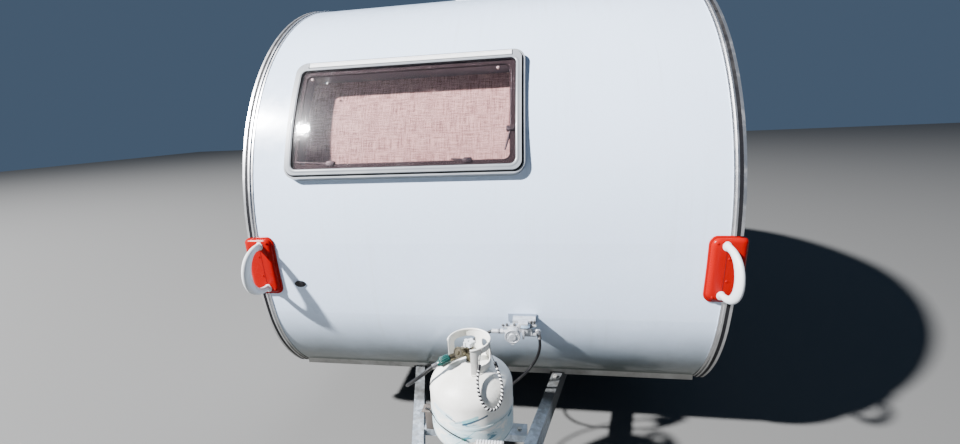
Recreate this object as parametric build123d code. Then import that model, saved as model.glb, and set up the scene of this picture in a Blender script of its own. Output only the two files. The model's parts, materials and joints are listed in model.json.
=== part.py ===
from build123d import *
import os
from math import asin, atan, atan2, cos, degrees, radians, sin, sqrt, tan

os.makedirs("parts", exist_ok=True)

# Small teardrop caravan. Millimetres; X across (the door is at -X), Y from the hitch (-)
# to the tail (+), Z up from the floor, origin midway between coupler tip and tail.

# Side profile of the body, a chain of tangent arcs from the front bottom edge over the roof
NOSE_Y = -1225.0
TAIL_Y = 2317.0
NOSE_Z = 1132.0
FLOOR_Z = 415.0
FRONT_R = 1170.0
BACK_R = 2900.0
TAIL_R = 500.0
CHIN_R = 2285.0
CHIN_TURN = 8.46
JAW_R = 658.0
FRONT_EDGE_R = 60.0
REAR_EDGE_R = 80.0
CROWN_Y = NOSE_Y + FRONT_R
ROOF_Z = NOSE_Z + FRONT_R

# Widths and wall thicknesses
WALL_OUT = 990.0
WALL_T = 30.0
SKIN_T = 30.0
WALL_IN = WALL_OUT - WALL_T
TRIM_OUT = 1002.0
TRIM_PROUD = 8.0
SEAM_Y = 900.0

# Wheels and axle
WHEEL_Y = 700.0
TYRE_R = 313.0
TYRE_W = 185.0
RIM_R = 172.0
WHEEL_X = 880.0
ARCH_R = 370.0
HOUSING_T = 8.0
HOUSING_IN = 745.0
AXLE_Y = 545.0
AXLE_Z = 285.0

# Frame members under the body
LEG_W = 45.0
LEG_H = 90.0
LEG_SLOPE = 0.2686
APEX_Y = -2302.0
LEG_FRONT_Y = -2195.0
LEG_REAR_Y = -700.0
RAIL_REAR_Y = 1850.0
COUPLER_TIP_Y = -2325.0
BALL_Y = -2272.0
BALL_Z = 392.0
BALL_R = 25.4
JACK_Y = -2075.0

# Gas cylinder
GAS_X = 9.0
GAS_Y = -1489.0
GAS_R = 152.4
GAS_Z = 415.0
GAS_LOW = 30.0
GAS_BELT = (118.0, 262.0)
GAS_TOP = 360.0
GAS_KNUCKLE_R = 60.0
COLLAR_R = 77.0
COLLAR_TOP = 441.0
NUT_START = (-57.5, GAS_Y - 33.5, GAS_Z + 384.0)
NUT_END = (-98.3, GAS_Y - 54.6, GAS_Z + 370.7)

# Door opening in the wall at -X
DOOR_FRONT_Y = -505.0
DOOR_REAR_Y = 150.0
DOOR_LOW_Z = 510.0
DOOR_HIGH_Z = 1950.0
DOOR_GAP = 6.0
DOOR_CORNER_R = 110.0


def save(node, shape):
    """Writes one node's solids, each as a separate solid."""
    solids = shape.solids()
    export_step(solids[0] if len(solids) == 1 else Compound(list(solids)), f"parts/{node}.step")


def block(x0, x1, y0, y1, z0, z1):
    return Pos((x0 + x1) / 2, (y0 + y1) / 2, (z0 + z1) / 2) * Box(abs(x1 - x0), abs(y1 - y0), abs(z1 - z0))


def both_sides(shape):
    """The shape and its mirror image across the middle plane."""
    return Compound(list(shape.solids()) + list(mirror(shape, about=Plane.YZ).solids()))


def gather(shapes):
    """Solids of several shapes, kept apart."""
    return Compound([solid for shape in shapes for solid in shape.solids()])


def rod(start, end, radius):
    """Round bar between two points."""
    a, b = Vector(*start), Vector(*end)
    return extrude(Plane(origin=a, z_dir=b - a) * Circle(radius), amount=(b - a).length)


def outline_rows():
    """Rows: centre y, centre z, radius, first and last angle in degrees from +Y towards +Z."""
    low = 180 + CHIN_TURN
    chin = (NOSE_Y + CHIN_R, NOSE_Z)
    jaw = (chin[0] + (CHIN_R - JAW_R) * cos(radians(low)), chin[1] + (CHIN_R - JAW_R) * sin(radians(low)))
    drop = jaw[1] - (FLOOR_Z + FRONT_EDGE_R)
    back = sqrt((JAW_R - FRONT_EDGE_R) ** 2 - drop**2)
    under = 180 + degrees(atan2(drop, back))
    front_edge = (jaw[0] - back, FLOOR_Z + FRONT_EDGE_R)
    crown_low = ROOF_Z - BACK_R
    tail_y = TAIL_Y - TAIL_R
    lean = atan2(sqrt((BACK_R - TAIL_R) ** 2 - (tail_y - CROWN_Y) ** 2), tail_y - CROWN_Y)
    tail_z = crown_low + (BACK_R - TAIL_R) * sin(lean)
    fall = tail_z - (FLOOR_Z + REAR_EDGE_R)
    out = sqrt((TAIL_R - REAR_EDGE_R) ** 2 - fall**2)
    last = -degrees(atan2(fall, out))
    return [
        (front_edge[0], front_edge[1], FRONT_EDGE_R, 270, under),
        (jaw[0], jaw[1], JAW_R, under, low),
        (chin[0], chin[1], CHIN_R, low, 180),
        (CROWN_Y, NOSE_Z, FRONT_R, 180, 90),
        (CROWN_Y, crown_low, BACK_R, 90, degrees(lean)),
        (tail_y, tail_z, TAIL_R, degrees(lean), last),
        (tail_y + out, FLOOR_Z + REAR_EDGE_R, REAR_EDGE_R, last, -90),
    ]


ROWS = outline_rows()
FRONT_EDGE_Y = ROWS[0][0]
REAR_EDGE_Y = ROWS[-1][0]
TAIL_Z = ROWS[5][1]


def outline(grow=0.0):
    """Side profile as a face, every arc grown outward by the same amount."""
    arcs = [CenterArc((y, z), r + grow, first, last - first) for y, z, r, first, last in ROWS]
    floor = Line(arcs[-1] @ 1, arcs[0] @ 0)
    return make_face(Curve() + arcs + floor)


def slab(x0, x1, grow=0.0):
    return extrude(Plane.YZ.offset(x0) * outline(grow), amount=x1 - x0)


def ring(x0, x1, outer, inner):
    """Skin-following band between two growths of the profile."""
    return extrude(Plane.YZ.offset(x0) * (outline(outer) - outline(inner)), amount=x1 - x0)


def skin_point(row, angle, out=0.0):
    """Point (y, z) at an angle on one arc of the profile."""
    y, z, r, _, _ = ROWS[row]
    return y + (r + out) * cos(radians(angle)), z + (r + out) * sin(radians(angle))


def window_prism(row, angle, x_mid, width, height, corner, reach=160.0):
    """Rounded prism square to the skin at an angle on one arc."""
    y, z = skin_point(row, angle)
    face_out = Plane(origin=(x_mid, y, z), x_dir=(1, 0, 0), z_dir=(0, cos(radians(angle)), sin(radians(angle))))
    return extrude(face_out * RectangleRounded(width, height, corner), amount=reach / 2, both=True)


def side_prism(x0, x1, y_mid, z_mid, width, height, corner):
    """Rounded prism through a side wall."""
    plane = Plane(origin=(x0, y_mid, z_mid), x_dir=(0, 1, 0), z_dir=(1, 0, 0))
    return extrude(plane * RectangleRounded(width, height, corner), amount=x1 - x0)


# Windows in the curved skin: arc row, angle, middle x, outer width, outer height, corner radius
FRONT_WINDOW = (3, 153.24, -294.5, 1011.0, 542.5, 50.0)
REAR_WINDOW = (4, 50.0, 0.0, 900.0, 440.0, 60.0)
FRAME_W = 35.0
FRAME_PROUD = 14.0
LIP_W = 7.0
LIP_PROUD = 5.0
GROOVE_W = 6.0
NECK = 10.0
# The front window's glass sits lower in its frame by this much, which makes room for the rail
GLASS_DROP = 7.1
# The front window is flatter than the skin and stands off it: height of its base at the middle, and the base's radius
FRONT_STAND = 9.6
FRONT_BASE_R = 1800.0
# Windows in the side walls and the door: side, middle y, middle z, width, height
SIDE_WINDOWS = [(1, 330.0, 1480.0, 900.0, 480.0), (-1, 730.0, 1450.0, 760.0, 460.0)]
DOOR_WINDOW = (-1, -178.0, 1480.0, 430.0, 480.0)
SIDE_CORNER = 60.0
SIDE_PROUD = 9.0


def inset(window, amount):
    """The same curved-skin window taken in on every side."""
    row, angle, x_mid, width, height, corner = window
    return row, angle, x_mid, width - 2 * amount, height - 2 * amount, corner - amount


def opening(window, drop=0.0):
    """Glass opening of a curved-skin window; a drop lowers its middle and takes twice as much off its height."""
    row, angle, x_mid, width, height, corner = inset(window, FRAME_W)
    return row, angle + degrees(drop / ROWS[row][2]), x_mid, width, height - 2 * drop, corner + 10


FRONT_OPENING = opening(FRONT_WINDOW, GLASS_DROP)
REAR_OPENING = opening(REAR_WINDOW)


def base_arc(window, stand=0.0, radius=None):
    """Arc that a curved-skin window is built on: the skin's own, or a flatter one that stands off it."""
    row, angle = window[:2]
    y, z, r, _, _ = ROWS[row]
    radius = radius or r
    back = r + stand - radius
    return y + back * cos(radians(angle)), z + back * sin(radians(angle)), radius


FRONT_BASE = base_arc(FRONT_WINDOW, FRONT_STAND, FRONT_BASE_R)
REAR_BASE = base_arc(REAR_WINDOW)


def drum(arc, grow):
    """Full cylinder across the cabin on an arc grown by an amount."""
    y, z, r = arc
    return rod((-WALL_IN, y, z), (WALL_IN, y, z), r + grow)


def skin_window(window, glass, base):
    """Frame, pane and blind of a window in the curved skin; the frame has a low lip, a groove and a raised inner part."""
    _, _, x_mid, width, _, _ = window
    x0, x1 = x_mid - width / 2, x_mid + width / 2
    lip = drum(base, LIP_PROUD) & window_prism(*window)
    lip -= (drum(base, LIP_PROUD + 1) - drum(base, LIP_PROUD - 3)) & window_prism(*inset(window, LIP_W))
    raised = drum(base, FRAME_PROUD) & window_prism(*inset(window, LIP_W + GROOVE_W))
    neck = ring(x0, x1, 0, -SKIN_T) & window_prism(*inset(glass, -NECK))
    frame = (lip + raised - slab(x0 - 20, x1 + 20) + neck) - window_prism(*glass)
    pane = (drum(base, FRAME_PROUD - 3) - drum(base, FRAME_PROUD - 9)) & window_prism(*inset(glass, 0.2))
    blind = ring(x0, x1, -SKIN_T + 5, -SKIN_T) & window_prism(*inset(glass, 0.2))
    return frame, pane, blind


# Hinge rail let into the top of the front window's frame: first and last x, its middle's distance below
# the frame's top edge, its width, and its lowest and highest surface over the skin
RAIL_X = (-733.0, 157.0)
RAIL_DOWN = 25.0
RAIL_W = 24.0
RAIL_OUT = (8.5, 16.0)
RAIL_GAP = 2.5
RAIL_END_GAP = 4.0


def along_rail(section, grow):
    """Sweeps a section (up the skin, out from it) along the rail, longer at both ends by the growth."""
    _, angle, _, _, height, _ = FRONT_WINDOW
    at = radians(angle) - asin((height / 2 - RAIL_DOWN) / FRONT_BASE_R)
    origin = (RAIL_X[0] - grow, FRONT_BASE[0] + FRONT_BASE_R * cos(at), FRONT_BASE[1] + FRONT_BASE_R * sin(at))
    plane = Plane(origin=origin, x_dir=(0, sin(at), -cos(at)), z_dir=(1, 0, 0))
    return extrude(plane * section, amount=RAIL_X[1] - RAIL_X[0] + 2 * grow)


def hinge_rail():
    """Straight bar with a rounded back and a fine groove along it."""
    low, high = RAIL_OUT
    bar = Pos(0, (low + high) / 2) * RectangleRounded(RAIL_W, high - low, 3)
    groove = Pos(RAIL_W / 2 - 7, high) * Rectangle(1.6, 2)
    return along_rail(bar - groove, 0)


def rail_seat():
    """What the rail takes out of the frame."""
    width = RAIL_W + RAIL_GAP + 10
    return along_rail(Pos((10 - RAIL_GAP) / 2, RAIL_OUT[0] + 19.6) * Rectangle(width, 40), RAIL_END_GAP)


# Reveal behind the front window: walls that run inward from the opening, with the blind across them
REVEAL_GROW = 6.0
REVEAL_T = 8.0
REVEAL_OUT = -92.0
BLIND_OUT = -84.0
BLIND_T = 3.0
REVEAL_REACH = 320.0


def front_reveal():
    """Walls of the reveal and the curved blind between them."""
    skin = base_arc(FRONT_OPENING)
    outer = window_prism(*inset(FRONT_OPENING, -REVEAL_GROW - REVEAL_T), REVEAL_REACH)
    inner = window_prism(*inset(FRONT_OPENING, -REVEAL_GROW), REVEAL_REACH)
    walls = (drum(skin, -SKIN_T - 0.3) - drum(skin, REVEAL_OUT)) & (outer - inner)
    cloth = window_prism(*inset(FRONT_OPENING, 0.2 - REVEAL_GROW), REVEAL_REACH)
    return walls, (drum(skin, BLIND_OUT) - drum(skin, BLIND_OUT - BLIND_T)) & cloth


def wall_window(row):
    """Frame, pane and blind of a flat window in a side wall."""
    side, y, z, width, height = row
    x_face, x_out, x_in = side * WALL_OUT, side * (WALL_OUT + SIDE_PROUD), side * WALL_IN

    def prism(x0, x1, take_in):
        low, high = sorted((x0, x1))
        return side_prism(low, high, y, z, width - 2 * take_in, height - 2 * take_in, SIDE_CORNER - take_in)

    lip = prism(x_face, x_face + side * (LIP_PROUD - 2), 0)
    raised = prism(x_face, x_out, LIP_W)
    frame = lip + raised + prism(x_in, x_face, FRAME_W - NECK) - prism(x_in * 0.9, x_out * 1.1, FRAME_W)
    pane = prism(x_out - side * 7, x_out - side * 2, FRAME_W + 0.2)
    blind = prism(x_in, x_in + side * 5, FRAME_W + 0.2)
    return frame, pane, blind


def skins():
    band = ring(-WALL_IN, WALL_IN, 0, -SKIN_T)
    band -= block(-1100, 1100, FRONT_EDGE_Y, REAR_EDGE_Y, FLOOR_Z - 5, FLOOR_Z + SKIN_T + 5)
    front = band & block(-1100, 1100, -1400, SEAM_Y, 300, 2500)
    rear = band & block(-1100, 1100, SEAM_Y, 2500, 300, 2500)
    front -= window_prism(*inset(FRONT_OPENING, -NECK))
    rear -= window_prism(*inset(REAR_OPENING, -NECK))
    save("front_roof_skin", front)
    save("rear_skin", rear)
    floor = block(-WALL_IN, WALL_IN, FRONT_EDGE_Y, REAR_EDGE_Y, FLOOR_Z, FLOOR_Z + SKIN_T)
    for side in (-1, 1):
        x0, x1 = sorted((side * HOUSING_IN, side * WALL_IN))
        floor -= rod((x0, WHEEL_Y, TYRE_R), (x1, WHEEL_Y, TYRE_R), ARCH_R + HOUSING_T)
    save("floor_panel", floor)


def side_walls():
    arch = rod((-1100, WHEEL_Y, TYRE_R), (1100, WHEEL_Y, TYRE_R), ARCH_R)
    left = slab(WALL_IN, WALL_OUT) - arch
    right = slab(-WALL_OUT, -WALL_IN) - arch
    for row in SIDE_WINDOWS:
        side, y, z, width, height = row
        cut = FRAME_W - NECK
        hole = side_prism(-60, 60, y, z, width - 2 * cut, height - 2 * cut, SIDE_CORNER - cut)
        hole = Pos(side * (WALL_IN + WALL_T / 2), 0, 0) * hole
        if side > 0:
            left -= hole
        else:
            right -= hole
    right -= door_prism(-1100, -900, 0)
    save("side_wall_left", left)
    save("side_wall_right", right)


def trims():
    edge = ring(WALL_IN, WALL_OUT + 2, 3, 0)
    edge += ring(971, 978, TRIM_PROUD, 3)
    edge += ring(WALL_OUT + 2, TRIM_OUT, TRIM_PROUD, -12)
    insert = ring(978, WALL_OUT + 2, 7, 3)
    under = block(0, 1100, FRONT_EDGE_Y, REAR_EDGE_Y, FLOOR_Z - 30, FLOOR_Z + 30)
    corner = block(800, 1100, -1300, CORNER_BACK_Y, *CORNER_Z)
    rear_corner = block(800, 1100, REAR_CORNER_Y, 2400, *REAR_CORNER_Z)
    sill = block(-WALL_IN + 1, WALL_IN - 1, *SILL_Y, *SILL_Z) - slab(-1000, 1000)
    leg = leg_x(SILL_Y[0])
    for x in (-leg, leg):
        sill -= block(x - SILL_LEG_GAP, x + SILL_LEG_GAP, -1100, -900, 400, FLOOR_Z + 1.5)
    edges = both_sides(edge - under - corner - rear_corner)
    save("edge_trims", gather([edges, sill]))
    save("edge_inserts", both_sides(insert - under - corner - rear_corner))


# Lip that hangs from the front skin's bottom edge, with gaps over the drawbar legs
SILL_Y = (-1021.0, -1017.0)
SILL_Z = (407.0, 436.0)
SILL_LEG_GAP = 34.0

# Moulded corner pieces: height span and how far they run along the side wall
CORNER_Z = (894.0, 1164.0)
CORNER_BACK_Y = -1130.0
CORNER_IN = 888.0
CORNER_OUT = 1026.0
CORNER_PROUD = 20.0
FLANGE_PROUD = 6.0
FLANGE_W = 7.0
CORNER_ROUND = 34.0
REAR_CORNER_Z = (740.0, 1068.0)
REAR_CORNER_Y = 2215.0
REAR_PROUD = 8.0
# Round lamps in the rear corner pieces: middle x, middle heights, radius
LAMP_X = 946.0
LAMP_Z = (800.0, 1008.0)
LAMP_R = 42.0


def corner_shell(grow, take_in):
    """Front corner moulding: follows the skin at a growth, wraps the wall, its outline taken in."""
    z0, z1 = CORNER_Z[0] + take_in, CORNER_Z[1] - take_in
    x0, x1 = CORNER_IN + take_in, CORNER_OUT - CORNER_PROUD + grow
    y1 = CORNER_BACK_Y - take_in
    hug = slab(x0 - 5, x1, grow) - slab(CORNER_IN - 20, WALL_OUT + 0.3, 0.2)
    front_view = Plane(origin=((x0 + x1 + 60) / 2, -1400, (z0 + z1) / 2), x_dir=(1, 0, 0), z_dir=(0, 1, 0))
    front_shape = extrude(front_view * RectangleRounded(x1 - x0 + 60, z1 - z0, CORNER_ROUND - take_in), amount=1400 + y1)
    plan_front = NOSE_Y - grow - 7
    plan = Plane(origin=((x0 - 60 + x1) / 2, (plan_front + y1) / 2, 0))
    plan_shape = extrude(plan * RectangleRounded(x1 - x0 + 60, y1 - plan_front, 24), amount=2000)
    return hug & front_shape & plan_shape


def lamp_place(z):
    """Plane on the tail's skin at a height, facing out, at the lamps' x."""
    angle = asin((z - TAIL_Z) / TAIL_R)
    return Plane(origin=(LAMP_X, ROWS[5][0] + TAIL_R * cos(angle), z), x_dir=(1, 0, 0), z_dir=(0, cos(angle), sin(angle)))


def corner_pieces():
    front = corner_shell(CORNER_PROUD, FLANGE_W) + corner_shell(FLANGE_PROUD, 0)
    save("front_corner_pieces", both_sides(front))
    rear = slab(CORNER_IN, CORNER_OUT, REAR_PROUD) - slab(CORNER_IN - 10, WALL_OUT + 0.3, 0.2)
    z0, z1 = REAR_CORNER_Z
    rear_view = Plane(origin=((CORNER_IN + CORNER_OUT + 60) / 2, REAR_CORNER_Y, (z0 + z1) / 2), x_dir=(1, 0, 0), z_dir=(0, -1, 0))
    rear &= extrude(rear_view * RectangleRounded(CORNER_OUT - CORNER_IN + 60, z1 - z0, CORNER_ROUND), amount=-200)
    lamps = []
    for z in LAMP_Z:
        place = lamp_place(z)
        rear -= extrude(place.offset(1) * Circle(LAMP_R + 0.4), amount=40)
        lens = extrude(place.offset(1.3) * Circle(LAMP_R), amount=7)
        dome_r = (LAMP_R**2 + 7.0**2) / (2 * 7.0)
        dome = place.offset(15.3 - dome_r) * Sphere(dome_r)
        lens += dome & extrude(place.offset(7) * Circle(LAMP_R), amount=20)
        lamps.append(lens)
    save("rear_corner_pieces", both_sides(rear))
    save("rear_lamps", both_sides(gather(lamps)))


# Grab handles, oval in section: x, y, z, half width across, half depth
HANDLE_ROWS = [(945, -1232, 1127, 11, 12), (949, -1279, 1121, 12, 15), (955, -1315, 1089, 14, 20), (958, -1334, 1033, 15, 24),
               (958, -1331, 986, 15, 23), (955, -1307, 946, 14, 18), (950, -1272, 931, 12, 14), (945, -1226, 930, 11, 12)]
HANDLE_LAST = len(HANDLE_ROWS) - 1


def sweep_route(points, radii, radius):
    """Round bar along straight runs joined by arcs."""
    path = FilletPolyline(*points, radius=radii)
    start = Plane(origin=path @ 0, z_dir=path % 0)
    return sweep(start * Circle(radius), path=path)


def corner_radii(points):
    """For each inner point, 0.45 of its shorter run over the tangent of half its turn."""
    radii = []
    for a, b, c in zip(points, points[1:], points[2:]):
        u, v = Vector(*b) - Vector(*a), Vector(*c) - Vector(*b)
        turn = radians(u.get_angle(v))
        radii.append(0.45 * min(u.length, v.length) / tan(turn / 2))
    return radii


def grab_handles():
    """Bow lofted through oval sections, each square to the line through its neighbours."""
    sections = []
    for i, (x, y, z, wide, deep) in enumerate(HANDLE_ROWS):
        before, after = HANDLE_ROWS[max(i - 1, 0)], HANDLE_ROWS[min(i + 1, HANDLE_LAST)]
        along = Vector(0, after[1] - before[1], after[2] - before[2])
        sections.append(Plane(origin=(x, y, z), x_dir=(1, 0, 0), z_dir=along) * Ellipse(wide, deep))
    bow = loft(sections) - slab(CORNER_IN - 50, CORNER_OUT + 50, CORNER_PROUD + 0.2)
    save("grab_handles", both_sides(bow))


def windows():
    frame, pane, _ = skin_window(FRONT_WINDOW, FRONT_OPENING, FRONT_BASE)
    save("front_window_frame", frame - rail_seat())
    save("front_window_pane", pane)
    save("front_window_rail", hinge_rail())
    reveal, blind = front_reveal()
    save("front_window_reveal", reveal)
    save("front_window_blind", blind)
    others = [skin_window(REAR_WINDOW, REAR_OPENING, REAR_BASE)] + [wall_window(row) for row in SIDE_WINDOWS]
    for name, pieces in zip(("frames", "panes", "blinds"), zip(*others)):
        save(f"body_window_{name}", gather(pieces))


# Louvred vents in the left wall: middle y, middle z; then their common size
VENTS = [(1430.0, 1060.0), (1430.0, 640.0)]
VENT_W = 340.0
VENT_H = 170.0
VENT_PROUD = 11.0
VENT_SLATS = 8


def wall_vents():
    """Rounded rims with a back plate and slanted slats."""
    vents = []
    for y, z in VENTS:
        x0 = WALL_OUT + 0.3
        rim = side_prism(x0, x0 + VENT_PROUD, y, z, VENT_W, VENT_H, 18)
        rim -= side_prism(x0 + 2, x0 + 20, y, z, VENT_W - 32, VENT_H - 32, 8)
        pitch = (VENT_H - 32) / VENT_SLATS
        for i in range(VENT_SLATS):
            z_slat = z - (VENT_H - 32) / 2 + (i + 0.5) * pitch
            rim += Pos(x0 + 6, y, z_slat) * Rot(0, 32, 0) * Box(2.5, VENT_W - 30, 14)
        vents.append(rim & side_prism(x0, x0 + VENT_PROUD, y, z, VENT_W, VENT_H, 18))
    save("wall_vents", gather(vents))


def door_prism(x0, x1, gap):
    return side_prism(
        x0, x1, (DOOR_FRONT_Y + DOOR_REAR_Y) / 2, (DOOR_LOW_Z + DOOR_HIGH_Z) / 2,
        DOOR_REAR_Y - DOOR_FRONT_Y - 2 * gap, DOOR_HIGH_Z - DOOR_LOW_Z - 2 * gap, DOOR_CORNER_R - gap)


HINGE_X = -998.0
HINGE_Y = DOOR_FRONT_Y + 2.0
HINGE_R = 6.0
HINGE_Z = (750.0, 1720.0)
HINGE_LEN = 90.0


def door():
    panel = door_prism(-WALL_OUT, -WALL_IN, DOOR_GAP)
    side, y, z, width, height = DOOR_WINDOW
    cut = FRAME_W - NECK
    hole = side_prism(-1100, -900, y, z, width - 2 * cut, height - 2 * cut, SIDE_CORNER - cut)
    save("door_panel", panel - hole)
    frame, pane, blind = wall_window(DOOR_WINDOW)
    save("door_window_frame", frame)
    save("door_window_pane", pane)
    save("door_window_blind", blind)
    bezel = side_prism(-996, -WALL_OUT, 95, 1120, 60, 170, 20)
    paddle = side_prism(-1008, -996, 100, 1120, 34, 120, 12)
    save("door_handle", bezel + paddle)
    door_leaves, wall_leaves = [], []
    for z_mid in HINGE_Z:
        third = HINGE_LEN / 3
        knuckle = rod((HINGE_X, HINGE_Y, z_mid - third / 2 + 0.5), (HINGE_X, HINGE_Y, z_mid + third / 2 - 0.5), HINGE_R)
        leaf = block(-994, -WALL_OUT, HINGE_Y + 8, HINGE_Y + 55, z_mid - third / 2 + 0.5, z_mid + third / 2 - 0.5)
        neck = block(-1000, -994, HINGE_Y, HINGE_Y + 12, z_mid - third / 2 + 0.5, z_mid + third / 2 - 0.5)
        door_leaves.append(knuckle + leaf + neck)
        for way in (-1, 1):
            low, high = sorted((z_mid + way * third / 2, z_mid + way * third * 1.5))
            knuckle = rod((HINGE_X, HINGE_Y, low), (HINGE_X, HINGE_Y, high), HINGE_R)
            leaf = block(-994, -WALL_OUT, HINGE_Y - 45, HINGE_Y - 8, low, high)
            neck = block(-1000, -994, HINGE_Y - 12, HINGE_Y, low, high)
            wall_leaves.append(knuckle + leaf + neck)
    save("door_hinge_leaves", gather(door_leaves))
    save("wall_hinge_leaves", gather(wall_leaves))


def wheel_arches():
    outer = rod((HOUSING_IN, WHEEL_Y, TYRE_R), (WALL_IN, WHEEL_Y, TYRE_R), ARCH_R + HOUSING_T)
    inner = rod((HOUSING_IN + HOUSING_T, WHEEL_Y, TYRE_R), (WALL_IN + 5, WHEEL_Y, TYRE_R), ARCH_R)
    shell = (outer - inner) & block(700, 1000, 0, 1400, FLOOR_Z, 900)
    save("wheel_housings", both_sides(shell))
    x0 = WALL_OUT + 0.3
    section = Plane(origin=(0, WHEEL_Y, TYRE_R), x_dir=(1, 0, 0), z_dir=(0, -1, 0))
    flare = make_face(Polyline((x0, ARCH_R - 6), (x0 + 26, ARCH_R - 6), (x0 + 26, ARCH_R + 12), (x0 + 4, ARCH_R + 62),
                               (x0, ARCH_R + 62), close=True))
    flare = fillet(flare.vertices().sort_by(Axis.X)[-2:], 7)
    lip = revolve(section * flare, axis=Axis((0, WHEEL_Y, TYRE_R), (1, 0, 0)))
    save("fenders", both_sides(lip & block(900, 1100, 0, 1400, FLOOR_Z - 40, 900)))


def leg_x(y):
    return LEG_SLOPE * (y - APEX_Y)


PLATE_T = 4.0
LUG_Y = -1068.0


def channel(outer, pocket, z0, z1):
    """Channel bar from its plan outline and the plan of the space between its flanges."""
    bar = extrude(Plane.XY.offset(z0) * make_face(Polyline(*outer, close=True)), amount=z1 - z0)
    return bar - extrude(Plane.XY.offset(z0 + PLATE_T) * make_face(Polyline(*pocket, close=True)), amount=z1 - z0 - 2 * PLATE_T)


def chassis():
    half = LEG_W / 2 / cos(atan(LEG_SLOPE))
    for side, name in ((1, "drawbar_left"), (-1, "drawbar_right")):
        def plan(inner, outer, start, end):
            return [(side * (leg_x(start) + inner), start), (side * (leg_x(start) + outer), start),
                    (side * (leg_x(end) + outer), end), (side * (leg_x(end) + inner), end)]

        leg = channel(plan(-half, half, LEG_FRONT_Y, LEG_REAR_Y), plan(-half - 9, half - PLATE_T, LEG_FRONT_Y - 9, LEG_REAR_Y - 12),
                      FLOOR_Z - LEG_H, FLOOR_Z)
        if side > 0:
            x = leg_x(LUG_Y)
            leg += rod((x, LUG_Y, FLOOR_Z - 2), (x, LUG_Y, FLOOR_Z + 5), 21)
            leg += rod((x, LUG_Y, FLOOR_Z), (x, LUG_Y, FLOOR_Z + 12), 8)
        save(name, leg)
    rail_x = leg_x(LEG_REAR_Y)
    half = LEG_W / 2
    x0, x1 = rail_x - half, rail_x + half
    rail = channel([(x0, LEG_REAR_Y), (x1, LEG_REAR_Y), (x1, RAIL_REAR_Y), (x0, RAIL_REAR_Y)],
                   [(x0 - 9, LEG_REAR_Y + 12), (x1 - PLATE_T, LEG_REAR_Y + 12), (x1 - PLATE_T, RAIL_REAR_Y + 9), (x0 - 9, RAIL_REAR_Y + 9)],
                   FLOOR_Z - LEG_H, FLOOR_Z)
    save("chassis_rails", both_sides(rail))
    bars = []
    for y, x_out in ((-640, 940), (1300, 940)):
        bars.append(block(rail_x + half, x_out, y - 20, y + 20, FLOOR_Z - 60, FLOOR_Z))
        bars.append(block(-x_out, -rail_x - half, y - 20, y + 20, FLOOR_Z - 60, FLOOR_Z))
        bars.append(block(-rail_x + half - PLATE_T, rail_x - half + PLATE_T, y - 20, y + 20, FLOOR_Z - 60, FLOOR_Z - PLATE_T))
    for y0, y1 in ((-1440, -1375), (-1590, -1535)):
        gap = leg_x(y0) - LEG_W / 2 / cos(atan(LEG_SLOPE))
        bars.append(block(-gap, gap, y0, y1, GAS_Z - 32, GAS_Z - 2))
    save("cross_members", gather(bars))


def coupler():
    tongue = Polyline((-36, -2300), (36, -2300), (78, -2125), (-78, -2125), close=True)
    body = extrude(Plane.XY.offset(FLOOR_Z) * make_face(tongue), amount=8)
    hood = Polyline((-26, -2290), (26, -2290), (56, -2138), (-56, -2138), close=True)
    hood = extrude(Plane.XY.offset(FLOOR_Z + 6) * make_face(hood), amount=30)
    body += fillet(hood.faces().sort_by(Axis.Z)[-1].edges(), 12)
    dome = rod((0, BALL_Y, BALL_Z - 22), (0, BALL_Y, BALL_Z + 8), 36) + Pos(0, BALL_Y, BALL_Z + 8) * Sphere(36)
    nose = rod((0, COUPLER_TIP_Y + 30, BALL_Z - 22), (0, COUPLER_TIP_Y + 30, BALL_Z + 12), 30)
    body += dome + nose
    socket = Pos(0, BALL_Y, BALL_Z) * Sphere(BALL_R + 0.4)
    socket += rod((0, BALL_Y, BALL_Z - 60), (0, BALL_Y, BALL_Z), BALL_R + 0.4)
    body -= socket
    body -= block(-200, 200, -2400, -2100, 300, BALL_Z - 22)
    save("coupler", body)
    top = FLOOR_Z + 36.3
    lever = [(0, -2160, top + 12), (0, -2205, top + 14), (0, -2250, top + 30), (0, -2275, top + 52)]
    latch = sweep_route(lever, corner_radii(lever), 8) + rod((-20, -2168, top + 11), (20, -2168, top + 11), 11)
    latch += rod((0, -2262, top + 40), (0, -2288, top + 63.5), 12)
    save("coupler_latch", latch)


# Tongue jack
JACK_TUBE_R = 28.5
JACK_INNER_R = 22.0
JACK_LOW = 305.0
JACK_TOP = 800.0
JACK_TRAVEL = 280.0


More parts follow.
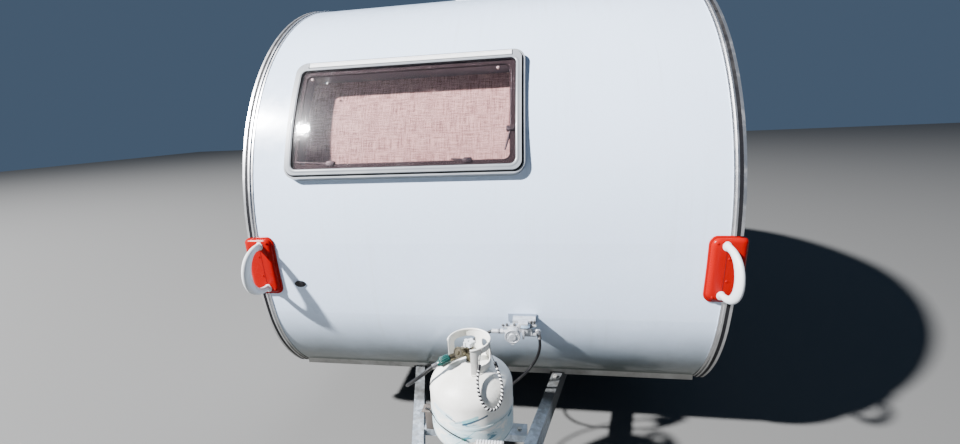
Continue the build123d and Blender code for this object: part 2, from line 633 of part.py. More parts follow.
def jack():
    plate = Polyline((-75, -2110), (75, -2110), (92, -2025), (-92, -2025), close=True)
    tube = rod((0, JACK_Y, JACK_LOW), (0, JACK_Y, JACK_TOP), JACK_TUBE_R)
    tube += extrude(Plane.XY.offset(FLOOR_Z) * make_face(plate), amount=10)
    tube += rod((0, JACK_Y, FLOOR_Z), (0, JACK_Y, FLOOR_Z + 32), JACK_TUBE_R + 7)
    tube -= rod((0, JACK_Y, JACK_LOW - 10), (0, JACK_Y, JACK_TOP - 20), JACK_INNER_R + 1.5)
    head = rod((0, JACK_Y, JACK_TOP - 2), (0, JACK_Y, JACK_TOP + 45), 37)
    tube += chamfer(head.faces().sort_by(Axis.Z)[-1].edges(), 10) + rod((0, JACK_Y, JACK_TOP + 22), (46, JACK_Y, JACK_TOP + 22), 14)
    save("jack_tube", tube)
    handle = [(46.3, JACK_Y, JACK_TOP + 22), (68, JACK_Y, JACK_TOP + 22), (72, JACK_Y + 22, JACK_TOP + 22),
              (74, JACK_Y + 138, JACK_TOP + 22), (96, JACK_Y + 146, JACK_TOP + 22), (112, JACK_Y + 146, JACK_TOP + 22)]
    crank = sweep_route(handle, [7, 7, 8, 8], 6.5) + rod((98, JACK_Y + 146, JACK_TOP + 22), (170, JACK_Y + 146, JACK_TOP + 22), 12)
    save("jack_crank", crank)
    foot = rod((0, JACK_Y, 4), (0, JACK_Y, JACK_TOP - 40 - JACK_TRAVEL), JACK_INNER_R)
    foot += rod((0, JACK_Y, 0), (0, JACK_Y, 6), 75) + rod((0, JACK_Y, 5), (0, JACK_Y, 20), 32)
    save("jack_foot", foot)


def axle():
    square = Plane(origin=(-720, AXLE_Y, AXLE_Z), x_dir=(0, 1, 0), z_dir=(1, 0, 0))
    beam = extrude(square * RectangleRounded(80, 80, 14), amount=1440)
    rail_x = leg_x(LEG_REAR_Y)
    for side in (-1, 1):
        x0, x1 = side * (rail_x + LEG_W / 2 + 0.3), side * (rail_x + LEG_W / 2 + 8.3)
        cheek = make_face(Polyline((AXLE_Y - 75, FLOOR_Z - 20), (AXLE_Y + 75, FLOOR_Z - 20), (AXLE_Y + 48, AXLE_Z - 44),
                                   (AXLE_Y - 48, AXLE_Z - 44), close=True))
        beam += extrude(Plane.YZ.offset(min(x0, x1)) * cheek, amount=abs(x1 - x0))
    save("axle_beam", beam)
    arm = rod((722, AXLE_Y, AXLE_Z), (762, AXLE_Y, AXLE_Z), 38)
    side_bar = Polyline((AXLE_Y, AXLE_Z - 34), (WHEEL_Y, TYRE_R - 26), (WHEEL_Y, TYRE_R + 26), (AXLE_Y, AXLE_Z + 34), close=True)
    arm += extrude(Plane.YZ.offset(735) * make_face(side_bar), amount=24)
    arm += rod((735, WHEEL_Y, TYRE_R), (759, WHEEL_Y, TYRE_R), 26)
    arm += rod((759, WHEEL_Y, TYRE_R), (885, WHEEL_Y, TYRE_R), 14)
    save("trailing_arms", both_sides(arm))


def tyre_section():
    """Half-plane section of the tyre: x across the wheel, y as radius."""
    half = TYRE_W / 2
    tread = 78.0
    bead = 62.0
    with BuildSketch() as section:
        with BuildLine():
            Line((-bead, RIM_R - 8), (-bead, RIM_R + 6))
            ThreePointArc((-bead, RIM_R + 6), (-half, (TYRE_R + RIM_R) / 2), (-tread, TYRE_R - 10))
            ThreePointArc((-tread, TYRE_R - 10), (-tread + 5, TYRE_R - 3), (-tread + 14, TYRE_R))
            Line((-tread + 14, TYRE_R), (tread - 14, TYRE_R))
            ThreePointArc((tread - 14, TYRE_R), (tread - 5, TYRE_R - 3), (tread, TYRE_R - 10))
            ThreePointArc((tread, TYRE_R - 10), (half, (TYRE_R + RIM_R) / 2), (bead, RIM_R + 6))
            Line((bead, RIM_R + 6), (bead, RIM_R - 8))
            Line((bead, RIM_R - 8), (-bead, RIM_R - 8))
        make_face()
    return section.sketch


# Rim's half section as outward offset from the wheel's middle and radius: barrel with flanges, then the dished disc
BARREL = [(-68, 158), (-68, 177), (-62.4, 177), (-62.4, RIM_R - 8.3), (62.4, RIM_R - 8.3), (62.4, 177), (68, 177), (68, 158)]
DISC = [(20, 159), (30, 150), (34, 120), (17, 84), (8, 70), (5, 60), (5, 14.6), (-1, 14.6), (-1, 62), (3, 76), (12, 90),
        (27, 120), (23, 148), (14, 159)]
CAP = [(4, 14.6), (4, 33), (26, 33), (34, 26), (36, 0), (22, 0), (22, 14.6)]
VENT_HOLES = 12
VENT_CIRCLE_R = 134.0
BOLTS = 5
BOLT_CIRCLE_R = 49.0


def wheel(side):
    centre = (side * WHEEL_X, WHEEL_Y, TYRE_R)
    upright = Plane(origin=centre, x_dir=(1, 0, 0), z_dir=(0, -1, 0))
    spin = Axis(centre, (1, 0, 0))
    tyre = revolve(upright * tyre_section(), axis=spin)
    rim = None
    for rows in (BARREL, DISC, CAP):
        section = make_face(Polyline(*[(side * out, r) for out, r in rows], close=True))
        turned = revolve(upright * section, axis=spin)
        rim = turned if rim is None else rim + turned
    x = side * WHEEL_X
    for i in range(VENT_HOLES):
        y, z = WHEEL_Y + VENT_CIRCLE_R * cos(radians(30 * i)), TYRE_R + VENT_CIRCLE_R * sin(radians(30 * i))
        rim -= rod((x, y, z), (x + side * 60, y, z), 12)
    for i in range(BOLTS):
        y, z = WHEEL_Y + BOLT_CIRCLE_R * cos(radians(72 * i)), TYRE_R + BOLT_CIRCLE_R * sin(radians(72 * i))
        rim += rod((x + side * 3, y, z), (x + side * 19, y, z), 9.5)
    brake = rod((x - side * 96, WHEEL_Y, TYRE_R), (x - side * 1.4, WHEEL_Y, TYRE_R), 100)
    brake += rod((x - side * 96, WHEEL_Y, TYRE_R), (x - side * 84, WHEEL_Y, TYRE_R), 112)
    brake -= rod((x - side * 110, WHEEL_Y, TYRE_R), (x, WHEEL_Y, TYRE_R), 14.6)
    return tyre, rim, brake


def wheels():
    for side, name in ((1, "left"), (-1, "right")):
        tyre, rim, brake = wheel(side)
        save(f"tyre_{name}", tyre)
        save(f"rim_{name}", rim)
        save(f"drum_{name}", brake)


# Rear steady legs, folded forward-up under the floor
STEADY_X = 640.0
STEADY_Y = 1440.0
STEADY_Z = 372.0
STEADY_LEN = 360.0


def steadies():
    brackets = []
    for side, name in ((1, "left"), (-1, "right")):
        x = side * STEADY_X
        cheeks = block(x - 30, x - 24, STEADY_Y - 30, STEADY_Y + 30, STEADY_Z - 20, FLOOR_Z)
        cheeks += block(x + 24, x + 30, STEADY_Y - 30, STEADY_Y + 30, STEADY_Z - 20, FLOOR_Z)
        cheeks += block(x - 30, x + 30, STEADY_Y - 30, STEADY_Y + 30, FLOOR_Z - 6, FLOOR_Z)
        brackets.append(cheeks)
        leg = block(x - 18, x + 18, STEADY_Y - 10, STEADY_Y + STEADY_LEN - 30, STEADY_Z - 14, STEADY_Z + 12)
        leg -= block(x - 15, x + 15, STEADY_Y + 20, STEADY_Y + STEADY_LEN - 50, STEADY_Z - 11, STEADY_Z + 20)
        leg += rod((x - 18, STEADY_Y, STEADY_Z), (x + 18, STEADY_Y, STEADY_Z), 14)
        foot = rod((x - 40, STEADY_Y + STEADY_LEN - 20, STEADY_Z), (x + 40, STEADY_Y + STEADY_LEN - 20, STEADY_Z), 16)
        save(f"steady_leg_{name}", leg + foot)
    save("steady_brackets", gather(brackets))


def cylinder_shape(grow=0.0):
    """Gas cylinder's domed shell: a belt between two heads, each a knuckle arc and a crown arc."""
    arcs = []
    radius = GAS_R + grow
    knuckle = GAS_KNUCKLE_R + grow
    across = radius - knuckle
    for belt, end, way in ((GAS_BELT[0], GAS_LOW - grow, -1), (GAS_BELT[1], GAS_TOP + grow, 1)):
        rise = abs(end - belt)
        crown = (across**2 + rise**2 - knuckle**2) / (2 * (rise - knuckle))
        meet = way * degrees(atan2(crown - rise, across))
        arcs.append(CenterArc((across, belt), knuckle, 0, meet))
        arcs.append(CenterArc((0, end - way * crown), crown, meet, way * 90 - meet))
    low, high = arcs[0] @ 0, arcs[2] @ 0
    face = make_face(Curve() + arcs + Line(low, high) + Line(arcs[1] @ 1, arcs[3] @ 1))
    centre = Plane(origin=(GAS_X, GAS_Y, GAS_Z), x_dir=(1, 0, 0), z_dir=(0, -1, 0))
    return revolve(centre * face, axis=Axis((GAS_X, GAS_Y, 0), (0, 0, 1)))


# Collar: first and last angle of its gap, then hand holes as angle, width, lowest and highest edge
COLLAR_GAP = (189.0, 282.0)
HAND_HOLES = [(115.0, 84.0, 372.0, 414.0), (48.0, 34.0, 376.0, 412.0), (-33.0, 62.0, 372.0, 420.0)]
RIM_ROLL_R = 3.6


def gas_axis(radius, low, high):
    return rod((GAS_X, GAS_Y, GAS_Z + low), (GAS_X, GAS_Y, GAS_Z + high), radius)


def gas_collar():
    """Open guard ring with a rolled top edge and hand holes."""
    collar = gas_axis(COLLAR_R, 330, COLLAR_TOP) - gas_axis(COLLAR_R - 3, 320, COLLAR_TOP + 5)
    first, last = COLLAR_GAP
    reach = COLLAR_R + 40
    gap = [(GAS_X, GAS_Y)] + [(GAS_X + reach * cos(radians(a)), GAS_Y + reach * sin(radians(a)))
                              for a in (first, (first + last) / 2, last)]
    collar -= extrude(Plane.XY.offset(GAS_Z + 300) * make_face(Polyline(*gap, close=True)), amount=200)
    for angle, width, low, high in HAND_HOLES:
        out = (cos(radians(angle)), sin(radians(angle)), 0)
        plane = Plane(origin=(GAS_X, GAS_Y, GAS_Z + (low + high) / 2), x_dir=(-out[1], out[0], 0), z_dir=out)
        collar -= extrude(plane * RectangleRounded(width, high - low, 12), amount=100)
    turn = Plane(origin=(GAS_X, GAS_Y, GAS_Z + COLLAR_TOP), x_dir=(cos(radians(last)), sin(radians(last)), 0),
                 z_dir=(sin(radians(last)), -cos(radians(last)), 0))
    bead = turn * Pos(COLLAR_R - 1.5, 0) * Circle(RIM_ROLL_R)
    collar += revolve(bead, axis=Axis((GAS_X, GAS_Y, 0), (0, 0, 1)), revolution_arc=360 - (last - first))
    return collar - cylinder_shape(0.2)


# Valve: the round cap beside the outlet, from back to front face, and the handwheel's underside
VALVE_CAP = ((-15, GAS_Y - 8, GAS_Z + 395), (-27, GAS_Y - 32, GAS_Z + 407))
VALVE_CAP_R = 18.5
WHEEL_LOW = 419.5
WHEEL_LOBES = 5


def gas_cylinder():
    shell = cylinder_shape()
    foot = gas_axis(105, -2, 75) - gas_axis(102, -3, 80)
    seam = gas_axis(GAS_R + 1.2, 186, 194)
    save("gas_cylinder", shell + seam + (foot - shell))
    save("cylinder_collar", gas_collar())
    valve = gas_axis(14, 350, 408) + gas_axis(8, 408, WHEEL_LOW - 0.3) + gas_axis(18, 380, 390)
    valve += rod((GAS_X, GAS_Y, GAS_Z + 395), NUT_START, 12) + rod(*VALVE_CAP, VALVE_CAP_R)
    nut = rod(NUT_START, NUT_END, 19)
    save("cylinder_valve", valve - cylinder_shape() - nut)
    save("valve_nut", nut)
    wheel_top = Circle(16)
    for i in range(WHEEL_LOBES):
        wheel_top += Pos(16 * cos(radians(72 * i)), 16 * sin(radians(72 * i))) * Circle(6)
    handwheel = extrude(Plane(origin=(GAS_X, GAS_Y, GAS_Z + WHEEL_LOW)) * wheel_top, amount=15)
    handwheel -= gas_axis(5, WHEEL_LOW + 9, WHEEL_LOW + 30)
    save("valve_handwheel", handwheel)


# Regulator on its bracket: inlet ferrule's start, disc's middle, outlet elbow
REG_INLET = (67.6, -1282.0, 775.6)
REG_DISC = (152.0, -1288.0, 767.0)
REG_ELBOW = (256.0, -1264.0, 769.0)
REG_BACK = (178.0, 212.0)


def regulator():
    skin = slab(50, 320, 0.2)
    plate = (block(128, 248, -1400, -1100, 776, 816) & slab(120, 260, 4)) - skin
    x, y, z = REG_DISC
    body = rod((x, y - 18, z - 2), (x, y + 14, z + 1), 31) + rod((x, y + 10, z), (x, y + 34, z + 2), 22)
    tail = make_face(Polyline((x - 20.9, z - 22.9), (x + 20.9, z - 22.9), (x + 4, z - 41), (x - 4, z - 41), close=True))
    body += extrude(Plane.XZ.offset(-(y - 14)) * tail, amount=-18)
    body += rod(REG_INLET, (135, -1284, 775.6), 8.5) + rod((110, -1282, 796), (246, -1262, 794), 7)
    body += block(*REG_BACK, -1290, -1238, 776, 806) + block(150, 244, -1250, -1190, 795, 808)
    body += rod((196, -1266, 762), (247, -1265, 762), 15) + block(196, 230, -1282, -1248, 760, 790)
    body += rod((247, -1265, 764), REG_ELBOW, 9) + Pos(*REG_ELBOW) * Sphere(9) + rod(REG_ELBOW, (256, -1264, 758.6), 8.5)
    body -= skin
    elbow = rod((54, -904.8, 356), (54, -880, 356), 9) + rod((54, -880, 347), (54, -880, FLOOR_Z - 0.3), 9)
    save("regulator", gather([body + (plate - body), elbow]))


# Hose and cord routes as x, y, z
PIGTAIL_D = 13.0
PIGTAIL = [(-98.7, -1543.8, 785.5), (-122.5, -1556, 778), (-150, -1559, 752), (-182, -1550, 722), (-215, -1526, 686),
           (-243, -1487, 648), (-252, -1444, 623), (-239, -1404, 614), (-211, -1369, 618), (-175, -1339, 632),
           (-132, -1315, 653), (-79, -1297, 686), (-28, -1287, 721), (20, -1283, 754), (66, -1282, 775)]
OUTLET_D = 12.0
OUTLET = [(256, -1264, 757), (262, -1266, 727), (260, -1262, 682), (246, -1252, 633), (223, -1236, 583), (193, -1212, 530),
          (157, -1180, 472), (119, -1140, 412), (85, -1090, 372), (62, -1030, 352), (54, -968, 350), (54, -905, 356)]
STRIPED_D = 10.5
STRIPED = [(55, -1560, 798), (50, -1585, 772), (54, -1609, 745), (65, -1630, 716), (84, -1639, 691), (106, -1630, 678),
           (123, -1610, 681), (133, -1590, 700), (132, -1563, 730), (118, -1532, 755), (103, -1505, 775)]


def hoses():
    rows = [("pigtail_hose", PIGTAIL, PIGTAIL_D), ("outlet_hose", OUTLET, OUTLET_D), ("striped_cord", STRIPED, STRIPED_D)]
    for name, route, diameter in rows:
        radii = corner_radii(route)
        tube = sweep_route(route, radii, diameter / 2)
        length = FilletPolyline(*route, radius=radii).length
        share = tube.volume / (length * 3.14159265 * diameter**2 / 4)
        print(name, "length", round(length), "volume share", round(share, 4), "radii", [round(r) for r in radii])
        save(name, tube)


PLATE_HOLES = 178.0


def small_fittings():
    base = extrude(Plane.XY.offset(ROOF_Z - 6) * Pos(0, -40) * RectangleRounded(420, 420, 45), amount=26)
    lid = extrude(Plane.XY.offset(ROOF_Z + 10) * Pos(0, -40) * RectangleRounded(380, 380, 60), amount=28)
    lid = fillet(lid.faces().sort_by(Axis.Z)[-1].edges(), 12)
    save("roof_vent", (base + lid) - slab(-300, 300, 0.3))
    plate = block(-150, 150, TAIL_Y + 1.5, TAIL_Y + 5, 860, 1010)
    for x in (-PLATE_HOLES / 2, PLATE_HOLES / 2):
        plate -= rod((x, TAIL_Y - 10, 985), (x, TAIL_Y + 20, 985), 3.5)
    save("plate_holder", plate)


for build in (skins, side_walls, trims, corner_pieces, grab_handles, windows, wall_vents, door, wheel_arches, chassis,
              coupler, jack, axle, wheels, steadies, gas_cylinder, regulator, hoses, small_fittings):
    build()
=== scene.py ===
import json
from math import asin, atan2, cos, degrees, pi, radians, sin, sqrt, tau
import random

import bmesh
import bpy
from mathutils import Matrix, Vector


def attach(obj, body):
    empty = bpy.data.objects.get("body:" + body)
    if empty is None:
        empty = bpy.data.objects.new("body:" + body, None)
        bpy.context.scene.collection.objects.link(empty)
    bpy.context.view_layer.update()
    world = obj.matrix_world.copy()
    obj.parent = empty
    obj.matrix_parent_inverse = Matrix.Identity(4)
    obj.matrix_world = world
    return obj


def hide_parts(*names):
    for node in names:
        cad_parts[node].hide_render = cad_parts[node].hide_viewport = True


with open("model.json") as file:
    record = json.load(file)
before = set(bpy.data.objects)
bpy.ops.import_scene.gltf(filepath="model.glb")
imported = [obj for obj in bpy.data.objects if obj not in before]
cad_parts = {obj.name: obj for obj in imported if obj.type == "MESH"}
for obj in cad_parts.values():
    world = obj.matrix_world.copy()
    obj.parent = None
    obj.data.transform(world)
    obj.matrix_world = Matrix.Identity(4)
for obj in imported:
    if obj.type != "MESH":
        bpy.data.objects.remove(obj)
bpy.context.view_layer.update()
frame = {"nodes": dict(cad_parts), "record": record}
nodes = frame["nodes"]

# Camera in front, a little to the left of the middle plane, fitted to the body's edges
CAMERA_AT = (0.2632, -2.7590, 1.6164)
CAMERA_YAW = radians(8.693)
CAMERA_PITCH = radians(14.204)
CAMERA_ROLL = radians(2.630)
FOCAL_PX = 400.9
IMAGE_W_PX = 960
SENSOR_MM = 36.0

# Towards the key light, which stands high on the door's side in front
KEY_FROM = Vector((-0.645, -0.42, 0.638)).normalized()
KEY_DISTANCE = 24.0
KEY_SIZE = 1.0
KEY_WATTS = 35500
KEY_COLOUR = (0.98, 0.98, 1.0)
# The spot that the key light is aimed at
KEY_AIM = Vector((0, -0.9, 1.2))
SKY_COLOUR = (0.42, 0.64, 1.0)
SKY_STRENGTH = 0.16
FLOOR_SIZE = 60
FLOOR_COLOUR = (0.12, 0.12, 0.116)

# Body's side profile in metres: arc centre y and z, and radius
CHIN_ARC = (1.060, 1.132, 2.285)
FRONT_ARC = (-0.055, 1.132, 1.170)
BACK_ARC = (-0.055, -0.598, 2.900)
TAIL_ARC = (1.817, 0.9039, 0.500)
WALL_OUT = 0.990

# Window frames: width, how far they stand proud, and the middle of the groove round their raised part
FRAME_W = 0.035
FRAME_PROUD = 0.014
SIDE_PROUD = 0.009
GROOVE_MID = 0.010
# Base of the front window, an arc that is flatter than the skin and stands off it
FRONT_ANGLE = 153.24
FRONT_STAND = 0.0096
FRONT_BASE_R = 1.800
FRONT_BACK = FRONT_ARC[2] + FRONT_STAND - FRONT_BASE_R
FRONT_BASE = (FRONT_ARC[0] + FRONT_BACK * cos(radians(FRONT_ANGLE)),
              FRONT_ARC[1] + FRONT_BACK * sin(radians(FRONT_ANGLE)), FRONT_BASE_R)
# Curved windows' frames: arc, angle, middle x, width, height, corner radius;
# then the front one's glass and reveal
FRONT_WINDOW = (FRONT_BASE, FRONT_ANGLE, -0.2945, 1.011, 0.5425, 0.050)
FRONT_GLASS = (FRONT_BASE, 153.468, -0.2945, 0.941, 0.4583, 0.025)
FRONT_REVEAL = (FRONT_ARC, 153.588, -0.2945, 0.941, 0.4583, 0.025)
REAR_WINDOW = (BACK_ARC, 50.0, 0.0, 0.900, 0.440, 0.060)
REAR_GLASS = (BACK_ARC, 50.0, 0.0, 0.830, 0.370, 0.035)
# Flat windows: side, middle y, middle z, width, height, corner radius
LEFT_WINDOW = (1, 0.330, 1.480, 0.900, 0.480, 0.060)
RIGHT_WINDOW = (-1, 0.730, 1.450, 0.760, 0.460, 0.060)
DOOR_WINDOW = (-1, -0.178, 1.480, 0.430, 0.480, 0.060)

# Front blind's depth behind the skin, and how far its cloth runs past the glass on each side
BLIND_OUT = -0.0855
BLIND_PAST = 0.005
# The other blinds' depth, and how far each stays short of its glass on each side
SMALL_BLIND_OUT = -0.0275
SMALL_BLIND_GAP = 0.002

# Wheels
WHEEL_X = 0.880
WHEEL_Y = 0.700
WHEEL_Z = 0.313

# Gas cylinder
GAS_X = 0.009
GAS_Y = -1.489
GAS_Z = 0.415
NUT_START = Vector((-0.0575, -1.5225, 0.799))
NUT_END = Vector((-0.0983, -1.5436, 0.7857))


def add_camera():
    """Camera that sees what the photo shows."""
    data = bpy.data.cameras.new("front_camera")
    data.sensor_width = SENSOR_MM
    data.lens = SENSOR_MM * FOCAL_PX / IMAGE_W_PX
    data.clip_start = 0.02
    data.clip_end = 200
    camera = bpy.data.objects.new("front_camera", data)
    turn = Matrix.Rotation(CAMERA_YAW, 4, "Z") @ Matrix.Rotation(pi / 2 - CAMERA_PITCH, 4, "X")
    camera.matrix_world = Matrix.Translation(CAMERA_AT) @ turn @ Matrix.Rotation(-CAMERA_ROLL, 4, "Z")
    bpy.context.scene.collection.objects.link(camera)
    bpy.context.scene.camera = camera


# Shader nodes

def add(tree, kind, values=None, **settings):
    """A new node; a value that is a socket is linked, any other is set."""
    node = tree.nodes.new(kind)
    for key, value in settings.items():
        setattr(node, key, value)
    fill(tree, node, values or {})
    return node


def fill(tree, node, values):
    for key, value in values.items():
        if isinstance(value, bpy.types.NodeSocket):
            tree.links.new(value, node.inputs[key])
        else:
            node.inputs[key].default_value = value


def math(tree, operation, first, second=0.0, clamp=False):
    return add(tree, "ShaderNodeMath", {0: first, 1: second}, operation=operation, use_clamp=clamp).outputs[0]


def times(tree, first, second, clamp=False):
    return math(tree, "MULTIPLY", first, second, clamp)


def plus(tree, first, second, clamp=False):
    return math(tree, "ADD", first, second, clamp)


def vectors(tree, operation, first, second, output="Vector"):
    return add(tree, "ShaderNodeVectorMath", {0: first, 1: second}, operation=operation).outputs[output]


def axes(tree, vector):
    """A vector's x, y and z."""
    return add(tree, "ShaderNodeSeparateXYZ", {0: vector}).outputs


def spread(tree, value, low, high, new_low=0.0, new_high=1.0):
    """The value carried smoothly from one span to another, and held at its ends."""
    limits = {"Value": value, "From Min": low, "From Max": high, "To Min": new_low, "To Max": new_high}
    return add(tree, "ShaderNodeMapRange", limits, interpolation_type="SMOOTHSTEP").outputs[0]


def mix(tree, mask, first, second, blend="MIX"):
    """Two colours mixed by a mask."""
    sockets = {0: mask, 6: first, 7: second}
    for key in (6, 7):
        if isinstance(sockets[key], tuple):
            sockets[key] = (*sockets[key], 1)
    return add(tree, "ShaderNodeMix", sockets, data_type="RGBA", blend_type=blend).outputs[2]


def covered(tree, base, mask, share, colour):
    """The base under another colour that lies where the mask is, up to a share."""
    return mix(tree, times(tree, mask, share), base, colour)


def object_place(tree):
    return add(tree, "ShaderNodeTexCoord").outputs["Object"]


def scaled(tree, vector, x, y, z):
    return vectors(tree, "MULTIPLY", vector, (x, y, z))


def noise(tree, vector, scale, detail=3.0, roughness=0.5, distortion=0.0):
    values = {"Vector": vector, "Scale": scale, "Detail": detail, "Roughness": roughness,
              "Distortion": distortion}
    return add(tree, "ShaderNodeTexNoise", values).outputs[0]


def new_group(name, inputs, outputs):
    """A shader node group with its tree, the sockets that it is given and the ones that it fills."""
    tree = bpy.data.node_groups.new(name, "ShaderNodeTree")
    for label, start in inputs:
        tree.interface.new_socket(label, in_out="INPUT", socket_type="NodeSocketFloat").default_value = start
    for label in outputs:
        tree.interface.new_socket(label, in_out="OUTPUT", socket_type="NodeSocketFloat")
    return tree, tree.nodes.new("NodeGroupInput").outputs, tree.nodes.new("NodeGroupOutput").inputs


def effect(tree, group, values, output=0):
    """A group's output, with the group placed in a material."""
    node = add(tree, "ShaderNodeGroup", node_tree=GROUPS[group])
    fill(tree, node, values)
    return node.outputs[output]


def grain_height(tree, scale, detail):
    return effect(tree, "fine_grain", {"Scale": scale, "Detail": detail})


def rising_dirt_and_shade():
    """Film that thickens from the clear height down to the dark one, broken into patches: road dirt, and on
    the front skin mostly painted shade and painted reflection of the ground.
    """
    heights = [("Clear Height", 0.9), ("Dark Height", 0.4)]
    tree, given, out = new_group("rising_dirt_and_shade", heights + [("Patch Scale", 6.0), ("Patchiness", 0.2)],
                                 ["Mask"])
    at = object_place(tree)
    height = axes(tree, at)[2]
    patches = math(tree, "SUBTRACT", noise(tree, at, given["Patch Scale"], 6, 0.6), 0.5)
    height = plus(tree, height, times(tree, patches, given["Patchiness"]))
    mask = spread(tree, height, given["Dark Height"], given["Clear Height"], 1.0, 0.0)
    tree.links.new(mask, out["Mask"])
    return tree


def run_marks():
    """Marks that water leaves as it runs down; a small step along a direction draws them out that way."""
    tree, given, out = new_group("run_marks", [("Step X", 60.0), ("Step Y", 1.0), ("Step Z", 1.0)], ["Mask"])
    steps = add(tree, "ShaderNodeCombineXYZ", {0: given["Step X"], 1: given["Step Y"], 2: given["Step Z"]})
    at = vectors(tree, "MULTIPLY", object_place(tree), steps.outputs[0])
    fine = noise(tree, at, 1.0, 5, 0.65)
    broad = noise(tree, object_place(tree), 2.3, 2)
    mask = times(tree, spread(tree, fine, 0.50, 0.74), spread(tree, broad, 0.38, 0.66))
    tree.links.new(mask, out["Mask"])
    return tree


def specks():
    """Small scattered dots, of which only a share is kept."""
    tree, given, out = new_group("specks", [("Scale", 40.0), ("Size", 0.05), ("Share", 0.3)], ["Mask"])
    cells = add(tree, "ShaderNodeTexVoronoi", {"Vector": object_place(tree), "Scale": given["Scale"]})
    near = math(tree, "LESS_THAN", cells.outputs["Distance"], given["Size"])
    chance = add(tree, "ShaderNodeSeparateColor", {0: cells.outputs["Color"]}).outputs[0]
    kept = math(tree, "LESS_THAN", chance, given["Share"])
    tree.links.new(times(tree, near, kept), out["Mask"])
    return tree


def fine_grain():
    """Even fine unevenness of a moulded, cast or sprayed surface."""
    tree, given, out = new_group("fine_grain", [("Scale", 400.0), ("Detail", 3.0)], ["Height"])
    grain = noise(tree, object_place(tree), given["Scale"])
    tree.links.new(given["Detail"], grain.node.inputs["Detail"])
    tree.links.new(grain, out["Height"])
    return tree


def scratches():
    """Thin crossing lines in patches."""
    tree, given, out = new_group("scratches", [("Scale", 12.0), ("Width", 0.02)], ["Mask"])
    at = object_place(tree)
    lines = None
    for turn, stretch in ((0.5, (1.0, 1.0, 0.09)), (-0.7, (0.10, 1.0, 1.0)), (1.9, (1.0, 0.12, 0.8))):
        values = {"Vector": at, "Axis": (0.4, 0.7, 0.6), "Angle": turn}
        turned = add(tree, "ShaderNodeVectorRotate", values).outputs[0]
        values = {"Vector": scaled(tree, turned, *stretch), "Scale": given["Scale"]}
        cells = add(tree, "ShaderNodeTexVoronoi", values, feature="DISTANCE_TO_EDGE").outputs[0]
        line = math(tree, "LESS_THAN", cells, given["Width"])
        lines = line if lines is None else math(tree, "MAXIMUM", lines, line)
    patches = spread(tree, noise(tree, at, 9.0, 4), 0.50, 0.62)
    tree.links.new(times(tree, lines, patches), out["Mask"])
    return tree


def worn_edges():
    """Where an outer edge is rubbed bare."""
    tree, given, out = new_group("worn_edges", [("Radius", 0.003), ("Wear", 1.0)], ["Mask"])
    round_normal = add(tree, "ShaderNodeBevel", {"Radius": given["Radius"]}, samples=4).outputs[0]
    flat_normal = add(tree, "ShaderNodeNewGeometry").outputs["Normal"]
    agree = vectors(tree, "DOT_PRODUCT", round_normal, flat_normal, "Value")
    patchy = spread(tree, noise(tree, object_place(tree), 60.0, 4, 0.6), 0.35, 0.65, 0.2, 1.0)
    edge = times(tree, spread(tree, agree, 0.985, 0.80), patchy)
    tree.links.new(times(tree, edge, given["Wear"], clamp=True), out["Mask"])
    return tree


def settled_dust():
    """Dust on what faces up."""
    tree, given, out = new_group("settled_dust", [("Scale", 20.0)], ["Mask"])
    up = axes(tree, add(tree, "ShaderNodeTexCoord").outputs["Normal"])[2]
    cover = noise(tree, object_place(tree), given["Scale"], 5, 0.6)
    mask = times(tree, spread(tree, up, 0.2, 0.95), spread(tree, cover, 0.35, 0.70))
    tree.links.new(mask, out["Mask"])
    return tree


def underbody_painted_shade():
    """Painted shade on what lies behind the front of the body, thin in patches."""
    tree, given, out = new_group("underbody_painted_shade", [("Lit Y", -1.3), ("Shaded Y", -1.2)], ["Mask"])
    at = object_place(tree)
    along = axes(tree, at)[1]
    along = plus(tree, along, times(tree, math(tree, "SUBTRACT", noise(tree, at, 14.0, 5), 0.5), 0.06))
    patchy = spread(tree, noise(tree, at, 5.0, 5), 0.25, 0.55, 0.7, 1.0)
    mask = times(tree, spread(tree, along, given["Lit Y"], given["Shaded Y"]), patchy)
    tree.links.new(mask, out["Mask"])
    return tree


def painted_mark():
    """Worn printed stroke between two points given by their x and z."""
    ends = [("From X", 0.0), ("From Z", 0.0), ("To X", 0.1), ("To Z", 0.0)]
    tree, given, out = new_group("painted_mark", ends + [("Half Width", 0.004), ("Wear", 0.3)], ["Mask"])
    at = object_place(tree)
    flat = scaled(tree, at, 1, 0, 1)
    start = add(tree, "ShaderNodeCombineXYZ", {0: given["From X"], 2: given["From Z"]}).outputs[0]
    end = add(tree, "ShaderNodeCombineXYZ", {0: given["To X"], 2: given["To Z"]}).outputs[0]
    run = vectors(tree, "SUBTRACT", end, start)
    away = vectors(tree, "SUBTRACT", flat, start)
    along = vectors(tree, "DOT_PRODUCT", away, run, "Value")
    whole = vectors(tree, "DOT_PRODUCT", run, run, "Value")
    share = math(tree, "DIVIDE", along, whole, clamp=True)
    near = add(tree, "ShaderNodeVectorMath", {0: run, "Scale": share}, operation="SCALE").outputs[0]
    gap = vectors(tree, "DISTANCE", away, near, "Value")
    ragged = times(tree, math(tree, "SUBTRACT", noise(tree, at, 60.0, 5, 0.65), 0.5), given["Half Width"])
    gap = plus(tree, gap, ragged)
    inner = times(tree, given["Half Width"], 0.72)
    stroke = spread(tree, gap, given["Half Width"], inner)
    kept = math(tree, "GREATER_THAN", noise(tree, at, 95.0, 6, 0.7), given["Wear"])
    front = math(tree, "LESS_THAN", axes(tree, at)[1], GAS_Y)
    mask = times(tree, times(tree, stroke, kept), front)
    tree.links.new(mask, out["Mask"])
    return tree


def bent_edge():
    """How far a pane has bent back towards its outer edge."""
    tree, given, out = new_group("bent_edge", [("Flat X", -0.67), ("Edge X", -0.775)], ["Height"])
    across = axes(tree, object_place(tree))[0]
    tree.links.new(spread(tree, across, given["Edge X"], given["Flat X"]), out["Height"])
    return tree


